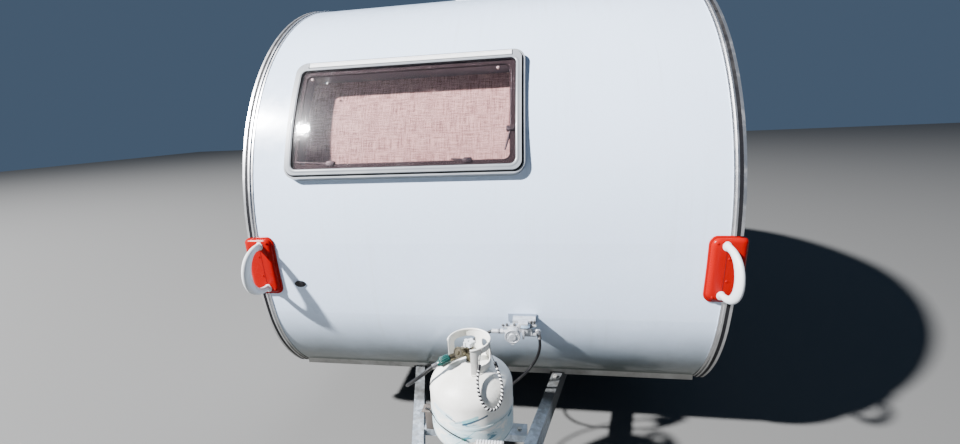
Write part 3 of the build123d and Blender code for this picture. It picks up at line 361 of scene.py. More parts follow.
def plain_weave():
    """Coarse plain weave across the cloth, with threads of uneven thickness; its tone has painted shade in
    the dips between threads.
    """
    tree, given, out = new_group("plain_weave", [("Pitch", 0.004), ("Unevenness", 0.5)], ["Height", "Shade"])
    at = axes(tree, object_place(tree))
    facing = axes(tree, add(tree, "ShaderNodeTexCoord").outputs["Normal"])
    sideways = math(tree, "GREATER_THAN", math(tree, "ABSOLUTE", facing[0]), 0.5)
    across = add(tree, "ShaderNodeMix", {0: sideways, 2: at[0], 3: at[1]}).outputs[0]
    both = add(tree, "ShaderNodeCombineXYZ", {0: across, 1: at[2]}).outputs[0]
    wander = noise(tree, both, 55.0, 2)
    wander = times(tree, math(tree, "SUBTRACT", wander, 0.5), times(tree, given["Unevenness"], 0.006))
    across = plus(tree, across, wander)
    up = math(tree, "SUBTRACT", at[2], wander)
    step = math(tree, "DIVIDE", pi, given["Pitch"])
    warp = math(tree, "SINE", times(tree, across, step))
    weft = math(tree, "SINE", times(tree, up, step))
    over = math(tree, "GREATER_THAN", times(tree, warp, weft), 0.0)
    values = {0: over, 2: math(tree, "ABSOLUTE", warp), 3: math(tree, "ABSOLUTE", weft)}
    threads = add(tree, "ShaderNodeMix", values).outputs[0]
    upright = noise(tree, scaled(tree, both, 260, 14, 1), 1.0, 3, 0.7)
    level = noise(tree, scaled(tree, both, 16, 240, 1), 1.0, 3, 0.7)
    slubs = spread(tree, plus(tree, upright, level), 0.75, 1.25)
    tree.links.new(threads, out["Height"])
    # Tone: the slubs, with painted shade where the threads dip
    shade = plus(tree, times(tree, slubs, 0.65), times(tree, threads, 0.35))
    tree.links.new(shade, out["Shade"])
    return tree


def zinc_spangle():
    """Crystals and dull bloom of a hot dip zinc coat."""
    tree, given, out = new_group("zinc_spangle", [("Scale", 90.0)], ["Shade"])
    at = object_place(tree)
    cells = add(tree, "ShaderNodeTexVoronoi", {"Vector": at, "Scale": given["Scale"]}).outputs["Color"]
    crystal = add(tree, "ShaderNodeSeparateColor", {0: cells}).outputs[0]
    bloom = noise(tree, at, 11.0, 5, 0.6)
    tree.links.new(plus(tree, times(tree, crystal, 0.35), times(tree, bloom, 0.65)), out["Shade"])
    return tree


GROUPS = {build.__name__: build() for build in (
    rising_dirt_and_shade, run_marks, specks, fine_grain, scratches, worn_edges, settled_dust, underbody_painted_shade,
    painted_mark,
    bent_edge, plain_weave, zinc_spangle)}


# Finishes

SKIN_COLOUR = (0.66, 0.79, 0.98)
# Body paint on the regulator's plate, darker than the skin as painted shade
PLATE_PAINT_AND_SHADE = (0.24, 0.29, 0.37)
# Front of the plate that carries the regulator
REGULATOR_PLATE_Y = -1.2095


def toned(colour, factor, lift=0.0):
    """A colour made darker or lighter."""
    return tuple(min(1, part * factor + lift) for part in colour)


def start_finish(name, roughness=0.5, metallic=0.0, coat=0.0, specular=0.5):
    """A new material with its tree and shader."""
    made = bpy.data.materials.new(name)
    made.use_nodes = True
    tree = made.node_tree
    shader = tree.nodes["Principled BSDF"]
    fill(tree, shader, {"Roughness": roughness, "Metallic": metallic})
    fill(tree, shader, {"Coat Weight": coat, "Specular IOR Level": specular})
    return made, tree, shader


def bump(tree, shader, rows):
    """Bumps laid one over another; rows of height socket, depth in metres and strength."""
    normal = None
    for height, depth, strength in rows:
        values = {"Height": height, "Distance": depth, "Strength": strength}
        if normal is not None:
            values["Normal"] = normal
        normal = add(tree, "ShaderNodeBump", values).outputs[0]
    tree.links.new(normal, shader.inputs["Normal"])


def dirt_and_shade_film(tree, clear_height, dark_height, scale, patchiness):
    """Mask of the film that thickens downward between two heights; on the front skin it is mostly painted
    shade and painted reflection of the ground, with road dirt.
    """
    heights = {"Clear Height": clear_height, "Dark Height": dark_height}
    return effect(tree, "rising_dirt_and_shade", {**heights, "Patch Scale": scale, "Patchiness": patchiness})


def white_paint(name, colour, film, film_and_shade_colour, marks):
    """Gloss white sheet with a film low down, run marks, specks and a faintly wavy surface; on the front skin
    the low film is mostly painted shade and painted reflection of the ground, with some road dirt.
    """
    made, tree, shader = start_finish(name, coat=0.5)
    at = object_place(tree)
    cloud = spread(tree, noise(tree, at, 1.7, 4), 0.3, 0.7)
    base = mix(tree, cloud, toned(colour, 0.965), colour)
    run = effect(tree, "run_marks", {"Step X": marks[0], "Step Y": marks[1], "Step Z": marks[2]})
    base = covered(tree, base, run, 0.16, (0.42, 0.41, 0.36))
    dot = effect(tree, "specks", {"Scale": 26.0, "Size": 0.030, "Share": 0.22})
    base = covered(tree, base, dot, 0.55, (0.10, 0.08, 0.06))
    clear_height, dark_height, depth = film
    cover = times(tree, dirt_and_shade_film(tree, clear_height, dark_height, 5.0, 0.10), depth)
    base = mix(tree, cover, base, film_and_shade_colour)
    grain = noise(tree, at, 22.0, 5, 0.6)
    rough = plus(tree, spread(tree, grain, 0.3, 0.7, 0.20, 0.30), times(tree, cover, 0.35))
    fill(tree, shader, {"Base Color": base, "Roughness": rough})
    peel = grain_height(tree, 420.0, 2.0)
    bump(tree, shader, [(noise(tree, at, 4.5, 2), 0.004, 0.25), (peel, 0.0004, 0.12), (dot, 0.0006, 0.3)])
    return made


def moulded_plastic(name, colour, roughness, coat, grain, fade, dust_colour=(0.42, 0.40, 0.36), specular=0.5,
                    scuffed=0.22, dusty=0.30):
    """Moulded plastic: an even grain, patches that the sun has faded, scuffs, and dust on top."""
    made, tree, shader = start_finish(name, coat=coat, specular=specular)
    at = object_place(tree)
    patch = spread(tree, noise(tree, at, 7.0, 5), 0.35, 0.75)
    base = mix(tree, times(tree, patch, fade[0]), colour, fade[1])
    scuff = effect(tree, "scratches", {"Scale": 26.0, "Width": 0.012})
    base = covered(tree, base, scuff, scuffed, toned(colour, 1.35, 0.05))
    dust = times(tree, effect(tree, "settled_dust", {"Scale": 30.0}), dusty)
    base = mix(tree, dust, base, dust_colour)
    rough = plus(tree, spread(tree, patch, 0, 1, roughness, roughness + 0.10), times(tree, dust, 0.5))
    rough = plus(tree, rough, times(tree, scuff, 0.15), clamp=True)
    fill(tree, shader, {"Base Color": base, "Roughness": rough})
    height = grain_height(tree, grain[0], 3.0)
    bump(tree, shader, [(height, grain[1], grain[2]), (scuff, 0.0002, 0.2)])
    return made


def zinc_coat(name, colour, scale, roughness, rust, under=0.0):
    """Zinc coated steel: spangle, dull bloom, a little rust, and painted shade on what lies behind the body's
    front.
    """
    made, tree, shader = start_finish(name, metallic=0.75)
    at = object_place(tree)
    shade = effect(tree, "zinc_spangle", {"Scale": scale})
    base = mix(tree, spread(tree, shade, 0.25, 0.75), toned(colour, 0.72), toned(colour, 1.18))
    stain = spread(tree, noise(tree, at, 13.0, 7, 0.7), 0.60, 0.78)
    base = covered(tree, base, stain, rust, (0.20, 0.085, 0.035))
    dust = times(tree, effect(tree, "settled_dust", {"Scale": 25.0}), 0.45)
    base = mix(tree, dust, base, (0.27, 0.24, 0.19))
    # Painted shade: darker where the metal runs back under the body's front
    dark_patches = times(tree, effect(tree, "underbody_painted_shade", {"Lit Y": -1.31, "Shaded Y": -1.20}), under)
    base = mix(tree, dark_patches, base, (0.060, 0.058, 0.052))
    dust = math(tree, "MAXIMUM", dust, dark_patches)
    rough = spread(tree, shade, 0.2, 0.8, roughness - 0.08, roughness + 0.14)
    rough = plus(tree, rough, times(tree, dust, 0.3))
    fill(tree, shader, {"Base Color": base, "Roughness": rough})
    height = grain_height(tree, 160.0, 4.0)
    bump(tree, shader, [(shade, 0.0005, 0.25), (height, 0.0006, 0.35)])
    return made


def dark_metal(name, colour, roughness, wear, bare, metallic=0.0):
    """Painted or cast dark metal with edges worn to bare metal and rust in patches."""
    made, tree, shader = start_finish(name, metallic=metallic)
    at = object_place(tree)
    base = mix(tree, noise(tree, at, 18.0, 5), toned(colour, 0.75), toned(colour, 1.3))
    worn = effect(tree, "worn_edges", {"Radius": 0.0025, "Wear": wear})
    base = mix(tree, worn, base, bare)
    rust = spread(tree, noise(tree, at, 21.0, 7, 0.7), 0.60, 0.74)
    base = covered(tree, base, rust, 0.55, (0.17, 0.065, 0.025))
    dust = times(tree, effect(tree, "settled_dust", {"Scale": 25.0}), 0.5)
    base = mix(tree, dust, base, (0.24, 0.21, 0.17))
    rough = plus(tree, spread(tree, rust, 0, 1, roughness, 0.85), times(tree, dust, 0.2), clamp=True)
    fill(tree, shader, {"Base Color": base, "Roughness": rough})
    height = grain_height(tree, 140.0, 5.0)
    bump(tree, shader, [(height, 0.0008, 0.45), (rust, 0.0004, 0.3)])
    return made


def drawn_aluminium(name, colour, roughness):
    """Drawn aluminium trim with lines along its length, dull patches, and darker towards the bottom."""
    made, tree, shader = start_finish(name, metallic=1.0)
    at = object_place(tree)
    lines = noise(tree, scaled(tree, at, 900, 30, 30), 1.0, 3)
    dull = spread(tree, noise(tree, at, 8.0, 6, 0.65), 0.42, 0.72)
    base = mix(tree, dull, colour, toned(colour, 0.72))
    # Darker towards the bottom
    lower_darkening = dirt_and_shade_film(tree, 0.9, 0.35, 14.0, 0.35)
    base = covered(tree, base, lower_darkening, 0.78, (0.13, 0.13, 0.11))
    rough = plus(tree, spread(tree, dull, 0, 1, roughness, roughness + 0.2), times(tree, lines, 0.12))
    fill(tree, shader, {"Base Color": base, "Roughness": rough})
    bump(tree, shader, [(lines, 0.0003, 0.2)])
    return made


def smoked_acrylic():
    """Curved smoked pane that lets the key light through to the blind; fine scratches catch the light."""
    made, tree, shader = start_finish("smoked_acrylic", roughness=0.02)
    fill(tree, shader, {"Base Color": (0.80, 0.70, 0.74, 1), "Transmission Weight": 1.0, "IOR": 1.45})
    craze = effect(tree, "scratches", {"Scale": 60.0, "Width": 0.003})
    haze = spread(tree, noise(tree, object_place(tree), 6.0, 5, 0.6), 0.45, 0.75, 0.05, 0.09)
    fill(tree, shader, {"Roughness": plus(tree, haze, times(tree, craze, 0.10))})
    fill(tree, shader, {"Coat Weight": 0.17, "Coat Roughness": 0.22})
    bend = effect(tree, "bent_edge", {"Flat X": -0.66, "Edge X": -0.775})
    lean = times(tree, axes(tree, object_place(tree))[2], -1.0)
    broad = noise(tree, object_place(tree), 5.0, 2)
    fine = noise(tree, object_place(tree), 34.0, 3)
    bump(tree, shader, [(lean, 0.036, 1.0), (bend, 0.0062, 1.0), (broad, 0.002, 0.25), (fine, 0.0008, 0.35),
                        (craze, 0.0003, 0.4)])
    clear = add(tree, "ShaderNodeBsdfTransparent", {"Color": (0.88, 0.79, 0.79, 1)})
    path = add(tree, "ShaderNodeLightPath").outputs
    passing = math(tree, "MAXIMUM", path["Is Shadow Ray"], path["Is Diffuse Ray"])
    both = add(tree, "ShaderNodeMixShader", {0: passing, 1: shader.outputs[0], 2: clear.outputs[0]})
    tree.links.new(both.outputs[0], tree.nodes["Material Output"].inputs["Surface"])
    return made


def blind_cloth():
    """Coarse pinkish beige cloth with uneven threads, and painted shade in the dips between threads."""
    made, tree, shader = start_finish("blind_cloth", roughness=0.9, specular=0.15)
    weave = {"Pitch": 0.0040, "Unevenness": 0.8}
    shade = effect(tree, "plain_weave", weave, 1)
    height = effect(tree, "plain_weave", weave, 0)
    colour = mix(tree, spread(tree, shade, 0.20, 0.80), (0.30, 0.200, 0.180), (0.98, 0.78, 0.69))
    blotch = spread(tree, noise(tree, object_place(tree), 16.0, 5, 0.65), 0.35, 0.65)
    colour = mix(tree, times(tree, blotch, 0.30), colour, (0.72, 0.62, 0.62), "MULTIPLY")
    fill(tree, shader, {"Base Color": colour, "Sheen Weight": 0.2})
    bump(tree, shader, [(noise(tree, object_place(tree), 40.0, 4), 0.003, 0.4), (height, 0.0012, 0.8)])
    return made


def tyre_rubber():
    """Black rubber, greyed by dust in patches."""
    made, tree, shader = start_finish("tyre_rubber", specular=0.22)
    at = object_place(tree)
    base = mix(tree, noise(tree, at, 30.0, 5), (0.010, 0.010, 0.011), (0.024, 0.023, 0.023))
    dust = spread(tree, noise(tree, at, 9.0, 6, 0.65), 0.42, 0.70)
    base = covered(tree, base, dust, 0.40, (0.10, 0.088, 0.074))
    fill(tree, shader, {"Base Color": base, "Roughness": spread(tree, dust, 0, 1, 0.62, 0.86)})
    bump(tree, shader, [(grain_height(tree, 300.0, 4.0), 0.0005, 0.4)])
    return made


def hose_rubber():
    """Smooth black hose with a faint dusty bloom."""
    made, tree, shader = start_finish("hose_rubber", specular=0.25)
    at = object_place(tree)
    bloom = spread(tree, noise(tree, at, 22.0, 6, 0.6), 0.40, 0.72)
    base = mix(tree, bloom, (0.006, 0.006, 0.007), (0.018, 0.018, 0.018))
    fill(tree, shader, {"Base Color": base, "Roughness": spread(tree, bloom, 0, 1, 0.34, 0.60)})
    bump(tree, shader, [(grain_height(tree, 500.0, 2.0), 0.0003, 0.25)])
    return made


def sealed_board():
    """Black sealed underside board with splashed road dirt."""
    made, tree, shader = start_finish("sealed_board", specular=0.3)
    at = object_place(tree)
    splash = spread(tree, noise(tree, at, 7.0, 8, 0.72, 0.4), 0.45, 0.72)
    base = mix(tree, splash, (0.018, 0.018, 0.018), (0.12, 0.10, 0.075))
    fill(tree, shader, {"Base Color": base, "Roughness": spread(tree, splash, 0, 1, 0.55, 0.9)})
    bump(tree, shader, [(noise(tree, scaled(tree, at, 8, 60, 8), 1.0, 4), 0.002, 0.4)])
    return made


def dull_brass():
    """Dull brass with a brown bloom and tool marks."""
    made, tree, shader = start_finish("dull_brass", metallic=1.0)
    at = object_place(tree)
    bloom = spread(tree, noise(tree, at, 70.0, 5, 0.6), 0.38, 0.68)
    base = mix(tree, bloom, (0.17, 0.150, 0.100), (0.060, 0.052, 0.040))
    fill(tree, shader, {"Base Color": base, "Roughness": spread(tree, bloom, 0, 1, 0.34, 0.60)})
    bump(tree, shader, [(grain_height(tree, 700.0, 3.0), 0.0002, 0.4)])
    return made


def die_cast():
    """Dull die cast regulator body."""
    made, tree, shader = start_finish("die_cast", metallic=0.55)
    at = object_place(tree)
    bloom = spread(tree, noise(tree, at, 45.0, 6, 0.6), 0.36, 0.70)
    base = mix(tree, bloom, (0.62, 0.64, 0.66), (0.36, 0.37, 0.39))
    dark_patches = spread(tree, noise(tree, at, 120.0, 4), 0.58, 0.72)
    base = covered(tree, base, dark_patches, 0.5, (0.10, 0.09, 0.08))
    # The plate behind it carries the body's paint, darkened as painted shade
    painted = math(tree, "GREATER_THAN", axes(tree, at)[1], REGULATOR_PLATE_Y)
    base = mix(tree, painted, base, PLATE_PAINT_AND_SHADE)
    metal = math(tree, "SUBTRACT", 0.55, times(tree, painted, 0.55))
    rough = spread(tree, bloom, 0, 1, 0.38, 0.62)
    fill(tree, shader, {"Base Color": base, "Roughness": rough, "Metallic": metal})
    bump(tree, shader, [(grain_height(tree, 600.0, 4.0), 0.0005, 0.5)])
    return made


# Strokes left of the cylinder's old print: from and to (x, z), half width, wear, strength, colour
LABEL_MARKS = [
    ((-0.0280, 0.5760), (0.0480, 0.6040), 0.0200, 0.38, 0.55, (0.46, 0.66, 0.72)),
    ((-0.1020, 0.6560), (-0.0420, 0.6400), 0.0110, 0.40, 0.65, (0.40, 0.60, 0.70)),
    ((0.0060, 0.6330), (0.0500, 0.6490), 0.0085, 0.36, 0.75, (0.12, 0.46, 0.50)),
    ((0.0025, 0.6235), (0.0829, 0.6493), 0.0042, 0.30, 0.95, (0.012, 0.050, 0.090)),
    ((-0.0582, 0.6458), (-0.0254, 0.6301), 0.0022, 0.30, 0.95, (0.012, 0.040, 0.070)),
    ((-0.0275, 0.5399), (0.0451, 0.5992), 0.0012, 0.30, 0.85, (0.05, 0.30, 0.34)),
]


def cylinder_paint():
    """Weathered off-white paint with chips, a dirty foot and rubbed patches of an old coloured print."""
    made, tree, shader = start_finish("cylinder_paint", coat=0.12)
    at = object_place(tree)
    parts = axes(tree, at)
    cloud = spread(tree, noise(tree, at, 9.0, 6, 0.6), 0.32, 0.72)
    base = mix(tree, cloud, (0.84, 0.83, 0.78), (0.69, 0.68, 0.62))
    torn = noise(tree, scaled(tree, at, 9, 9, 26), 1.0, 6, 0.62, 0.9)
    edge = plus(tree, parts[2], times(tree, math(tree, "SUBTRACT", noise(tree, at, 12.0, 4), 0.5), 0.10))
    band = times(tree, spread(tree, edge, 0.470, 0.500), spread(tree, edge, 0.640, 0.612))
    pale = times(tree, band, spread(tree, torn, 0.40, 0.50))
    base = covered(tree, base, pale, 0.80, (0.47, 0.62, 0.66))
    deep = times(tree, band, spread(tree, torn, 0.585, 0.635))
    base = covered(tree, base, deep, 0.9, (0.03, 0.17, 0.24))
    bare = times(tree, band, spread(tree, torn, 0.33, 0.27))
    base = covered(tree, base, bare, 0.7, (0.86, 0.86, 0.83))
    for (x, z), (x_end, z_end), half, wear, strength, colour in LABEL_MARKS:
        values = {"From X": x, "From Z": z, "To X": x_end, "To Z": z_end, "Half Width": half, "Wear": wear}
        mark = times(tree, effect(tree, "painted_mark", values), strength)
        base = mix(tree, mark, base, colour)
    low = dirt_and_shade_film(tree, 0.56, 0.41, 22.0, 0.16)
    base = covered(tree, base, low, 0.55, (0.30, 0.27, 0.21))
    chips = spread(tree, noise(tree, at, 34.0, 8, 0.75), 0.690, 0.715)
    base = mix(tree, chips, base, (0.17, 0.075, 0.035))
    worn = effect(tree, "worn_edges", {"Radius": 0.002, "Wear": 0.7})
    base = mix(tree, worn, base, (0.26, 0.15, 0.09))
    film = times(tree, effect(tree, "settled_dust", {"Scale": 16.0}), 0.28)
    base = mix(tree, film, base, (0.52, 0.50, 0.42))
    rough = plus(tree, spread(tree, cloud, 0, 1, 0.34, 0.48), times(tree, chips, 0.4))
    fill(tree, shader, {"Base Color": base, "Roughness": rough})
    peel = grain_height(tree, 260.0, 2.0)
    whole = math(tree, "SUBTRACT", 1.0, chips)
    bump(tree, shader, [(peel, 0.0005, 0.25), (whole, 0.0004, 0.5), (pale, 0.0002, 0.5)])
    return made


def striped_braid():
    """Black and white braid whose stripes are faces of the mesh, with a fine plaited surface."""
    made, tree, shader = start_finish("braid_white", roughness=0.85, specular=0.2)
    at = object_place(tree)
    base = mix(tree, noise(tree, at, 300.0, 4), (0.62, 0.62, 0.60), (0.86, 0.86, 0.84))
    fill(tree, shader, {"Base Color": base})
    bump(tree, shader, [(grain_height(tree, 900.0, 2.0), 0.0005, 0.6)])
    return made


def red_lens():
    """Ribbed red lamp lens, lighter on the ribs and darker between them as painted shade."""
    made, tree, shader = start_finish("red_lens", roughness=0.10, coat=0.6)
    at = object_place(tree)
    parts = axes(tree, at)
    ribs = math(tree, "SINE", times(tree, parts[0], tau / 0.005))
    # Painted shade: the red is lighter on the ribs and darker between them
    base = mix(tree, spread(tree, ribs, -1, 1), (0.30, 0.004, 0.006), (0.62, 0.014, 0.018))
    dust = spread(tree, noise(tree, at, 25.0, 5), 0.5, 0.8, 0.0, 0.25)
    base = mix(tree, dust, base, (0.35, 0.22, 0.18))
    fill(tree, shader, {"Base Color": base})
    bump(tree, shader, [(ribs, 0.0006, 0.6)])
    return made


FINISHES = {
    # Front skin: its dark greenish film low down is mostly painted shade and painted reflection of the
    # ground, with some road dirt
    "white_skin": white_paint("white_skin", SKIN_COLOUR, (0.90, 0.43, 0.93), (0.070, 0.080, 0.052),
                              (46.0, 1.2, 1.6)),
    "side_panel": white_paint("side_panel", (0.77, 0.82, 0.89), (0.95, 0.38, 0.45), (0.20, 0.19, 0.14),
                              (1.0, 46.0, 1.2)),
    "floor_board": sealed_board(),
    "trim_aluminium": drawn_aluminium("trim_aluminium", (0.80, 0.80, 0.81), 0.30),
    "band_blue": moulded_plastic("band_blue", (0.36, 0.50, 0.66), 0.35, 0.1, (500.0, 0.0003, 0.2),
                                 (0.4, (0.30, 0.42, 0.55))),
    "trim_rubber": moulded_plastic("trim_rubber", (0.008, 0.008, 0.010), 0.55, 0.0, (500.0, 0.0004, 0.3),
                                   (0.5, (0.020, 0.020, 0.021)), specular=0.15, scuffed=0.10, dusty=0.08),
    "red_plastic": moulded_plastic("red_plastic", (0.30, 0.0, 0.0), 0.24, 0.0, (300.0, 0.0003, 0.15),
                                   (0.20, (0.32, 0.002, 0.003)), (0.34, 0.15, 0.13), 0.12, 0.03, 0.02),
    "grey_plastic": moulded_plastic("grey_plastic", (0.62, 0.65, 0.68), 0.34, 0.0, (700.0, 0.0004, 0.3),
                                    (0.25, (0.60, 0.59, 0.55))),
    "window_frame": moulded_plastic("window_frame", (0.220, 0.238, 0.262), 0.30, 0.3, (900.0, 0.0004, 0.3),
                                    (0.30, (0.32, 0.325, 0.33)), scuffed=0.12, dusty=0.18),
    "rail_white": moulded_plastic("rail_white", (0.90, 0.91, 0.92), 0.28, 0.3, (600.0, 0.0003, 0.2),
                                  (0.2, (0.80, 0.80, 0.79))),
    "smoked_acrylic": smoked_acrylic(),
    "blind_weave": blind_cloth(),
    "pane_rim": moulded_plastic("pane_rim", (0.030, 0.026, 0.027), 0.65, 0.0, (500.0, 0.0004, 0.3),
                                (0.5, (0.042, 0.037, 0.037)), specular=0.08, scuffed=0.1, dusty=0.0),
    "black_plastic": moulded_plastic("black_plastic", (0.007, 0.007, 0.009), 0.40, 0.0, (600.0, 0.0005, 0.4),
                                     (0.4, (0.020, 0.020, 0.022)), specular=0.25, scuffed=0.15, dusty=0.12),
    # Drawbar: its last number is the share of painted shade under the body's front
    "galvanised": zinc_coat("galvanised", (0.56, 0.62, 0.68), 70.0, 0.44, 0.18, 0.85),
    "black_metal": dark_metal("black_metal", (0.022, 0.022, 0.024), 0.42, 0.8, (0.30, 0.29, 0.28)),
    "zinc_steel": zinc_coat("zinc_steel", (0.66, 0.65, 0.61), 260.0, 0.34, 0.40),
    "tyre": tyre_rubber(),
    "rim_silver": moulded_plastic("rim_silver", (0.36, 0.37, 0.39), 0.30, 0.3, (400.0, 0.0003, 0.2),
                                  (0.4, (0.27, 0.26, 0.24)), (0.20, 0.16, 0.12)),
    "drum_iron": dark_metal("drum_iron", (0.10, 0.085, 0.075), 0.70, 0.3, (0.30, 0.28, 0.26), 0.3),
    "cylinder_paint": cylinder_paint(),
    "brass": dull_brass(),
    "green_plastic": moulded_plastic("green_plastic", (0.002, 0.036, 0.031), 0.26, 0.1, (400.0, 0.0004, 0.3),
                                     (0.3, (0.008, 0.090, 0.075)), dusty=0.05),
    "cast_grey": die_cast(),
    "sleeve_steel": dark_metal("sleeve_steel", (0.17, 0.17, 0.18), 0.36, 0.5, (0.36, 0.36, 0.37), 0.7),
    "hose_rubber": hose_rubber(),
    "striped_cord": striped_braid(),
    "lamp_lens": red_lens(),
}


# Pieces with a finish of their own within their slot
NODE_FINISH = {"front_window_rail": "rail_white"}


def paint_nodes():
    """Every solid takes its slot's finish."""
    for part in frame["record"]["subparts"]:
        materials = nodes[part["node"]].data.materials
        materials.clear()
        materials.append(FINISHES[NODE_FINISH.get(part["node"], part["material_slot"])])


# Shapes

def circle(centre, side, other, radius, steps):
    """Points round a centre, in the plane of two directions."""
    turns = [tau * i / steps for i in range(steps)]
    return [centre + (side * cos(turn) + other * sin(turn)) * radius for turn in turns]


def round_off(mesh, edges, amount):
    bmesh.ops.bevel(mesh, geom=list(edges), offset=amount, segments=2, profile=0.5, affect="EDGES")


class Shape:
    """One piece's mesh, gathered from turned forms, tubes, blocks and strips, in metres."""

    def __init__(self):
        self.mesh = bmesh.new()

    def loft(self, rows, closed=False, capped=False, open_rows=False):
        """Faces between neighbouring rows of points; a row of one point is a tip."""
        loops = [[self.mesh.verts.new(point) for point in row] for row in rows]
        pairs = list(zip(loops, loops[1:]))
        if closed:
            pairs.append((loops[-1], loops[0]))
        for low, high in pairs:
            count = max(len(low), len(high))
            for i in range(count - 1 if open_rows else count):
                corners = []
                for loop, place in ((low, i), (low, i + 1), (high, i + 1), (high, i)):
                    corner = loop[place % len(loop)]
                    if corner not in corners:
                        corners.append(corner)
                self.mesh.faces.new(corners)
        if capped:
            for loop in (loops[0], loops[-1]):
                if len(loop) > 2:
                    self.mesh.faces.new(loop)

    def turned(self, profile, at, axis, steps=24, closed=False):
        """Form turned about an axis, from rows of radius and height along it."""
        along = Vector(axis).normalized()
        side = along.orthogonal().normalized()
        other = along.cross(side)
        rows = []
        for radius, height in profile:
            centre = Vector(at) + along * height
            rows.append(circle(centre, side, other, radius, steps) if radius else [centre])
        self.loft(rows, closed=closed, capped=not closed)

    def tube(self, points, radius, steps=10, closed=False):
        """Round tube along points; the radius is one number or one for each point."""
        points = [Vector(point) for point in points]
        last = len(points) - 1
        rows = []
        normal = None
        for i, point in enumerate(points):
            before = points[i - 1] if closed or i > 0 else point
            after = points[(i + 1) % len(points)] if closed or i < last else point
            along = (after - before).normalized()
            if normal is None:
                normal = along.orthogonal().normalized()
            normal = (normal - along * normal.dot(along)).normalized()
            other = along.cross(normal)
            size = radius[i] if isinstance(radius, list) else radius
            rows.append(circle(point, normal, other, size, steps))
        self.loft(rows, closed=closed, capped=not closed)

    def plate(self, outline, low, high, place, round_edge=0.0):
        """Flat plate from an outline in a place's x and y, from one height to another along its z."""
        rows = [[place @ Vector((x, y, height)) for x, y in outline] for height in (low, high)]
        fresh = bmesh.new()
        loops = [[fresh.verts.new(point) for point in row] for row in rows]
        fresh.faces.new(loops[0])
        top = fresh.faces.new(loops[1])
        for i in range(len(outline)):
            k = (i + 1) % len(outline)
            fresh.faces.new((loops[0][i], loops[0][k], loops[1][k], loops[1][i]))
        if round_edge:
            round_off(fresh, top.edges, round_edge)
        self.take(fresh)

    def block(self, size, place, round_edge=0.001):
        """Block with rounded edges, centred in a place."""
        fresh = bmesh.new()
        bmesh.ops.create_cube(fresh, size=1.0)
        bmesh.ops.scale(fresh, vec=size, verts=fresh.verts)
        round_off(fresh, fresh.edges, round_edge)
        bmesh.ops.transform(fresh, matrix=place, verts=fresh.verts)
        self.take(fresh)

    def take(self, fresh):
        """Adds another mesh's faces and frees it."""
        bmesh.ops.recalc_face_normals(fresh, faces=fresh.faces)
        data = bpy.data.meshes.new("fresh")
        fresh.to_mesh(data)
        fresh.free()
        self.mesh.from_mesh(data)
        bpy.data.meshes.remove(data)

    def hexagon(self, across, low, high, at, axis, chamfer=0.0008):
        """Six sided nut or bolt head with its outer corners taken off."""
        corner = across / sqrt(3)
        profile = [(corner, low), (corner, high - chamfer), (corner - chamfer * 1.4, high)]
        self.turned(profile, at, axis, steps=6)

    def piece(self, name, slot, body="root", replaces=(), crease=32, finish=None):
        """The finished piece, riding on its body."""
        bmesh.ops.recalc_face_normals(self.mesh, faces=self.mesh.faces)
        data = bpy.data.meshes.new(name)
        self.mesh.to_mesh(data)
        self.mesh.free()
        for made in (finish if isinstance(finish, list) else [finish or FINISHES[slot]]):
            data.materials.append(made)
        data.polygons.foreach_set("use_smooth", [True] * len(data.polygons))
        data.set_sharp_from_angle(angle=radians(crease))
        made = bpy.data.objects.new(name, data)
        bpy.context.scene.collection.objects.link(made)
        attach(made, body)
        if replaces:
            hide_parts(*replaces)
        return made


def place_at(at, x_dir, z_dir):
    """Place with an origin, its x direction and its z direction."""
    z = Vector(z_dir).normalized()
    x = Vector(x_dir)
    x = (x - z * x.dot(z)).normalized()
    y = z.cross(x)
    return Matrix.Translation(Vector(at)) @ Matrix((x, y, z)).transposed().to_4x4()


def z_of(place):
    """The way that a place faces."""
    return place.to_3x3().col[2]


def rounded_rectangle(width, height, corner, steps=8):
    """Outline points of a rectangle with round corners, counterclockwise."""
    points = []
    for x_way, y_way, start in ((1, 1, 0), (-1, 1, 90), (-1, -1, 180), (1, -1, 270)):
        x, y = x_way * (width / 2 - corner), y_way * (height / 2 - corner)
        for i in range(steps + 1):
            turn = radians(start + 90 * i / steps)
            points.append((x + corner * cos(turn), y + corner * sin(turn)))
    return points


def filled_loop(points, side_parts=18, longest=0.05):
    """The loop's points with its long sides cut into equal parts, so that it can follow a curve."""
    filled = []
    for i, (x, y) in enumerate(points):
        x_next, y_next = points[(i + 1) % len(points)]
        parts = side_parts if (x_next - x) ** 2 + (y_next - y) ** 2 > longest ** 2 else 1
        filled += [(x + (x_next - x) * k / parts, y + (y_next - y) * k / parts) for k in range(parts)]
    return filled


def arc_point(arc, angle, out=0.0):
    """Point (y, z) on one arc of the body's profile."""
    y, z, radius = arc
    return y + (radius + out) * cos(radians(angle)), z + (radius + out) * sin(radians(angle))


def curved_window(window):
    """Carries window coordinates (across, up, out) to a point, for a window in the curved skin."""
    arc, angle, x_mid, width, height, corner = window
    turn = radians(angle)
    normal = Vector((0, cos(turn), sin(turn)))
    up = Vector((0, sin(turn), -cos(turn))) * (1 if angle > 90 else -1)
    centre = Vector((x_mid, arc[0], arc[1]))

    def carry(u, v, out=0.0):
        return centre + Vector((u, 0, 0)) + up * v + normal * sqrt((arc[2] + out) ** 2 - v * v)
    return carry, width, height, corner


def flat_window(window):
    """The same for a window in a side wall."""
    side, y_mid, z_mid, width, height, corner = window

    def carry(u, v, out=0.0):
        return Vector((side * (WALL_OUT + out), y_mid + u * side, z_mid + v))
    return carry, width, height, corner


def inner_flat(window):
    """A flat window's glass opening."""
    side, y_mid, z_mid, width, height, corner = window
    return flat_window((side, y_mid, z_mid, width - 2 * FRAME_W, height - 2 * FRAME_W, corner - FRAME_W))


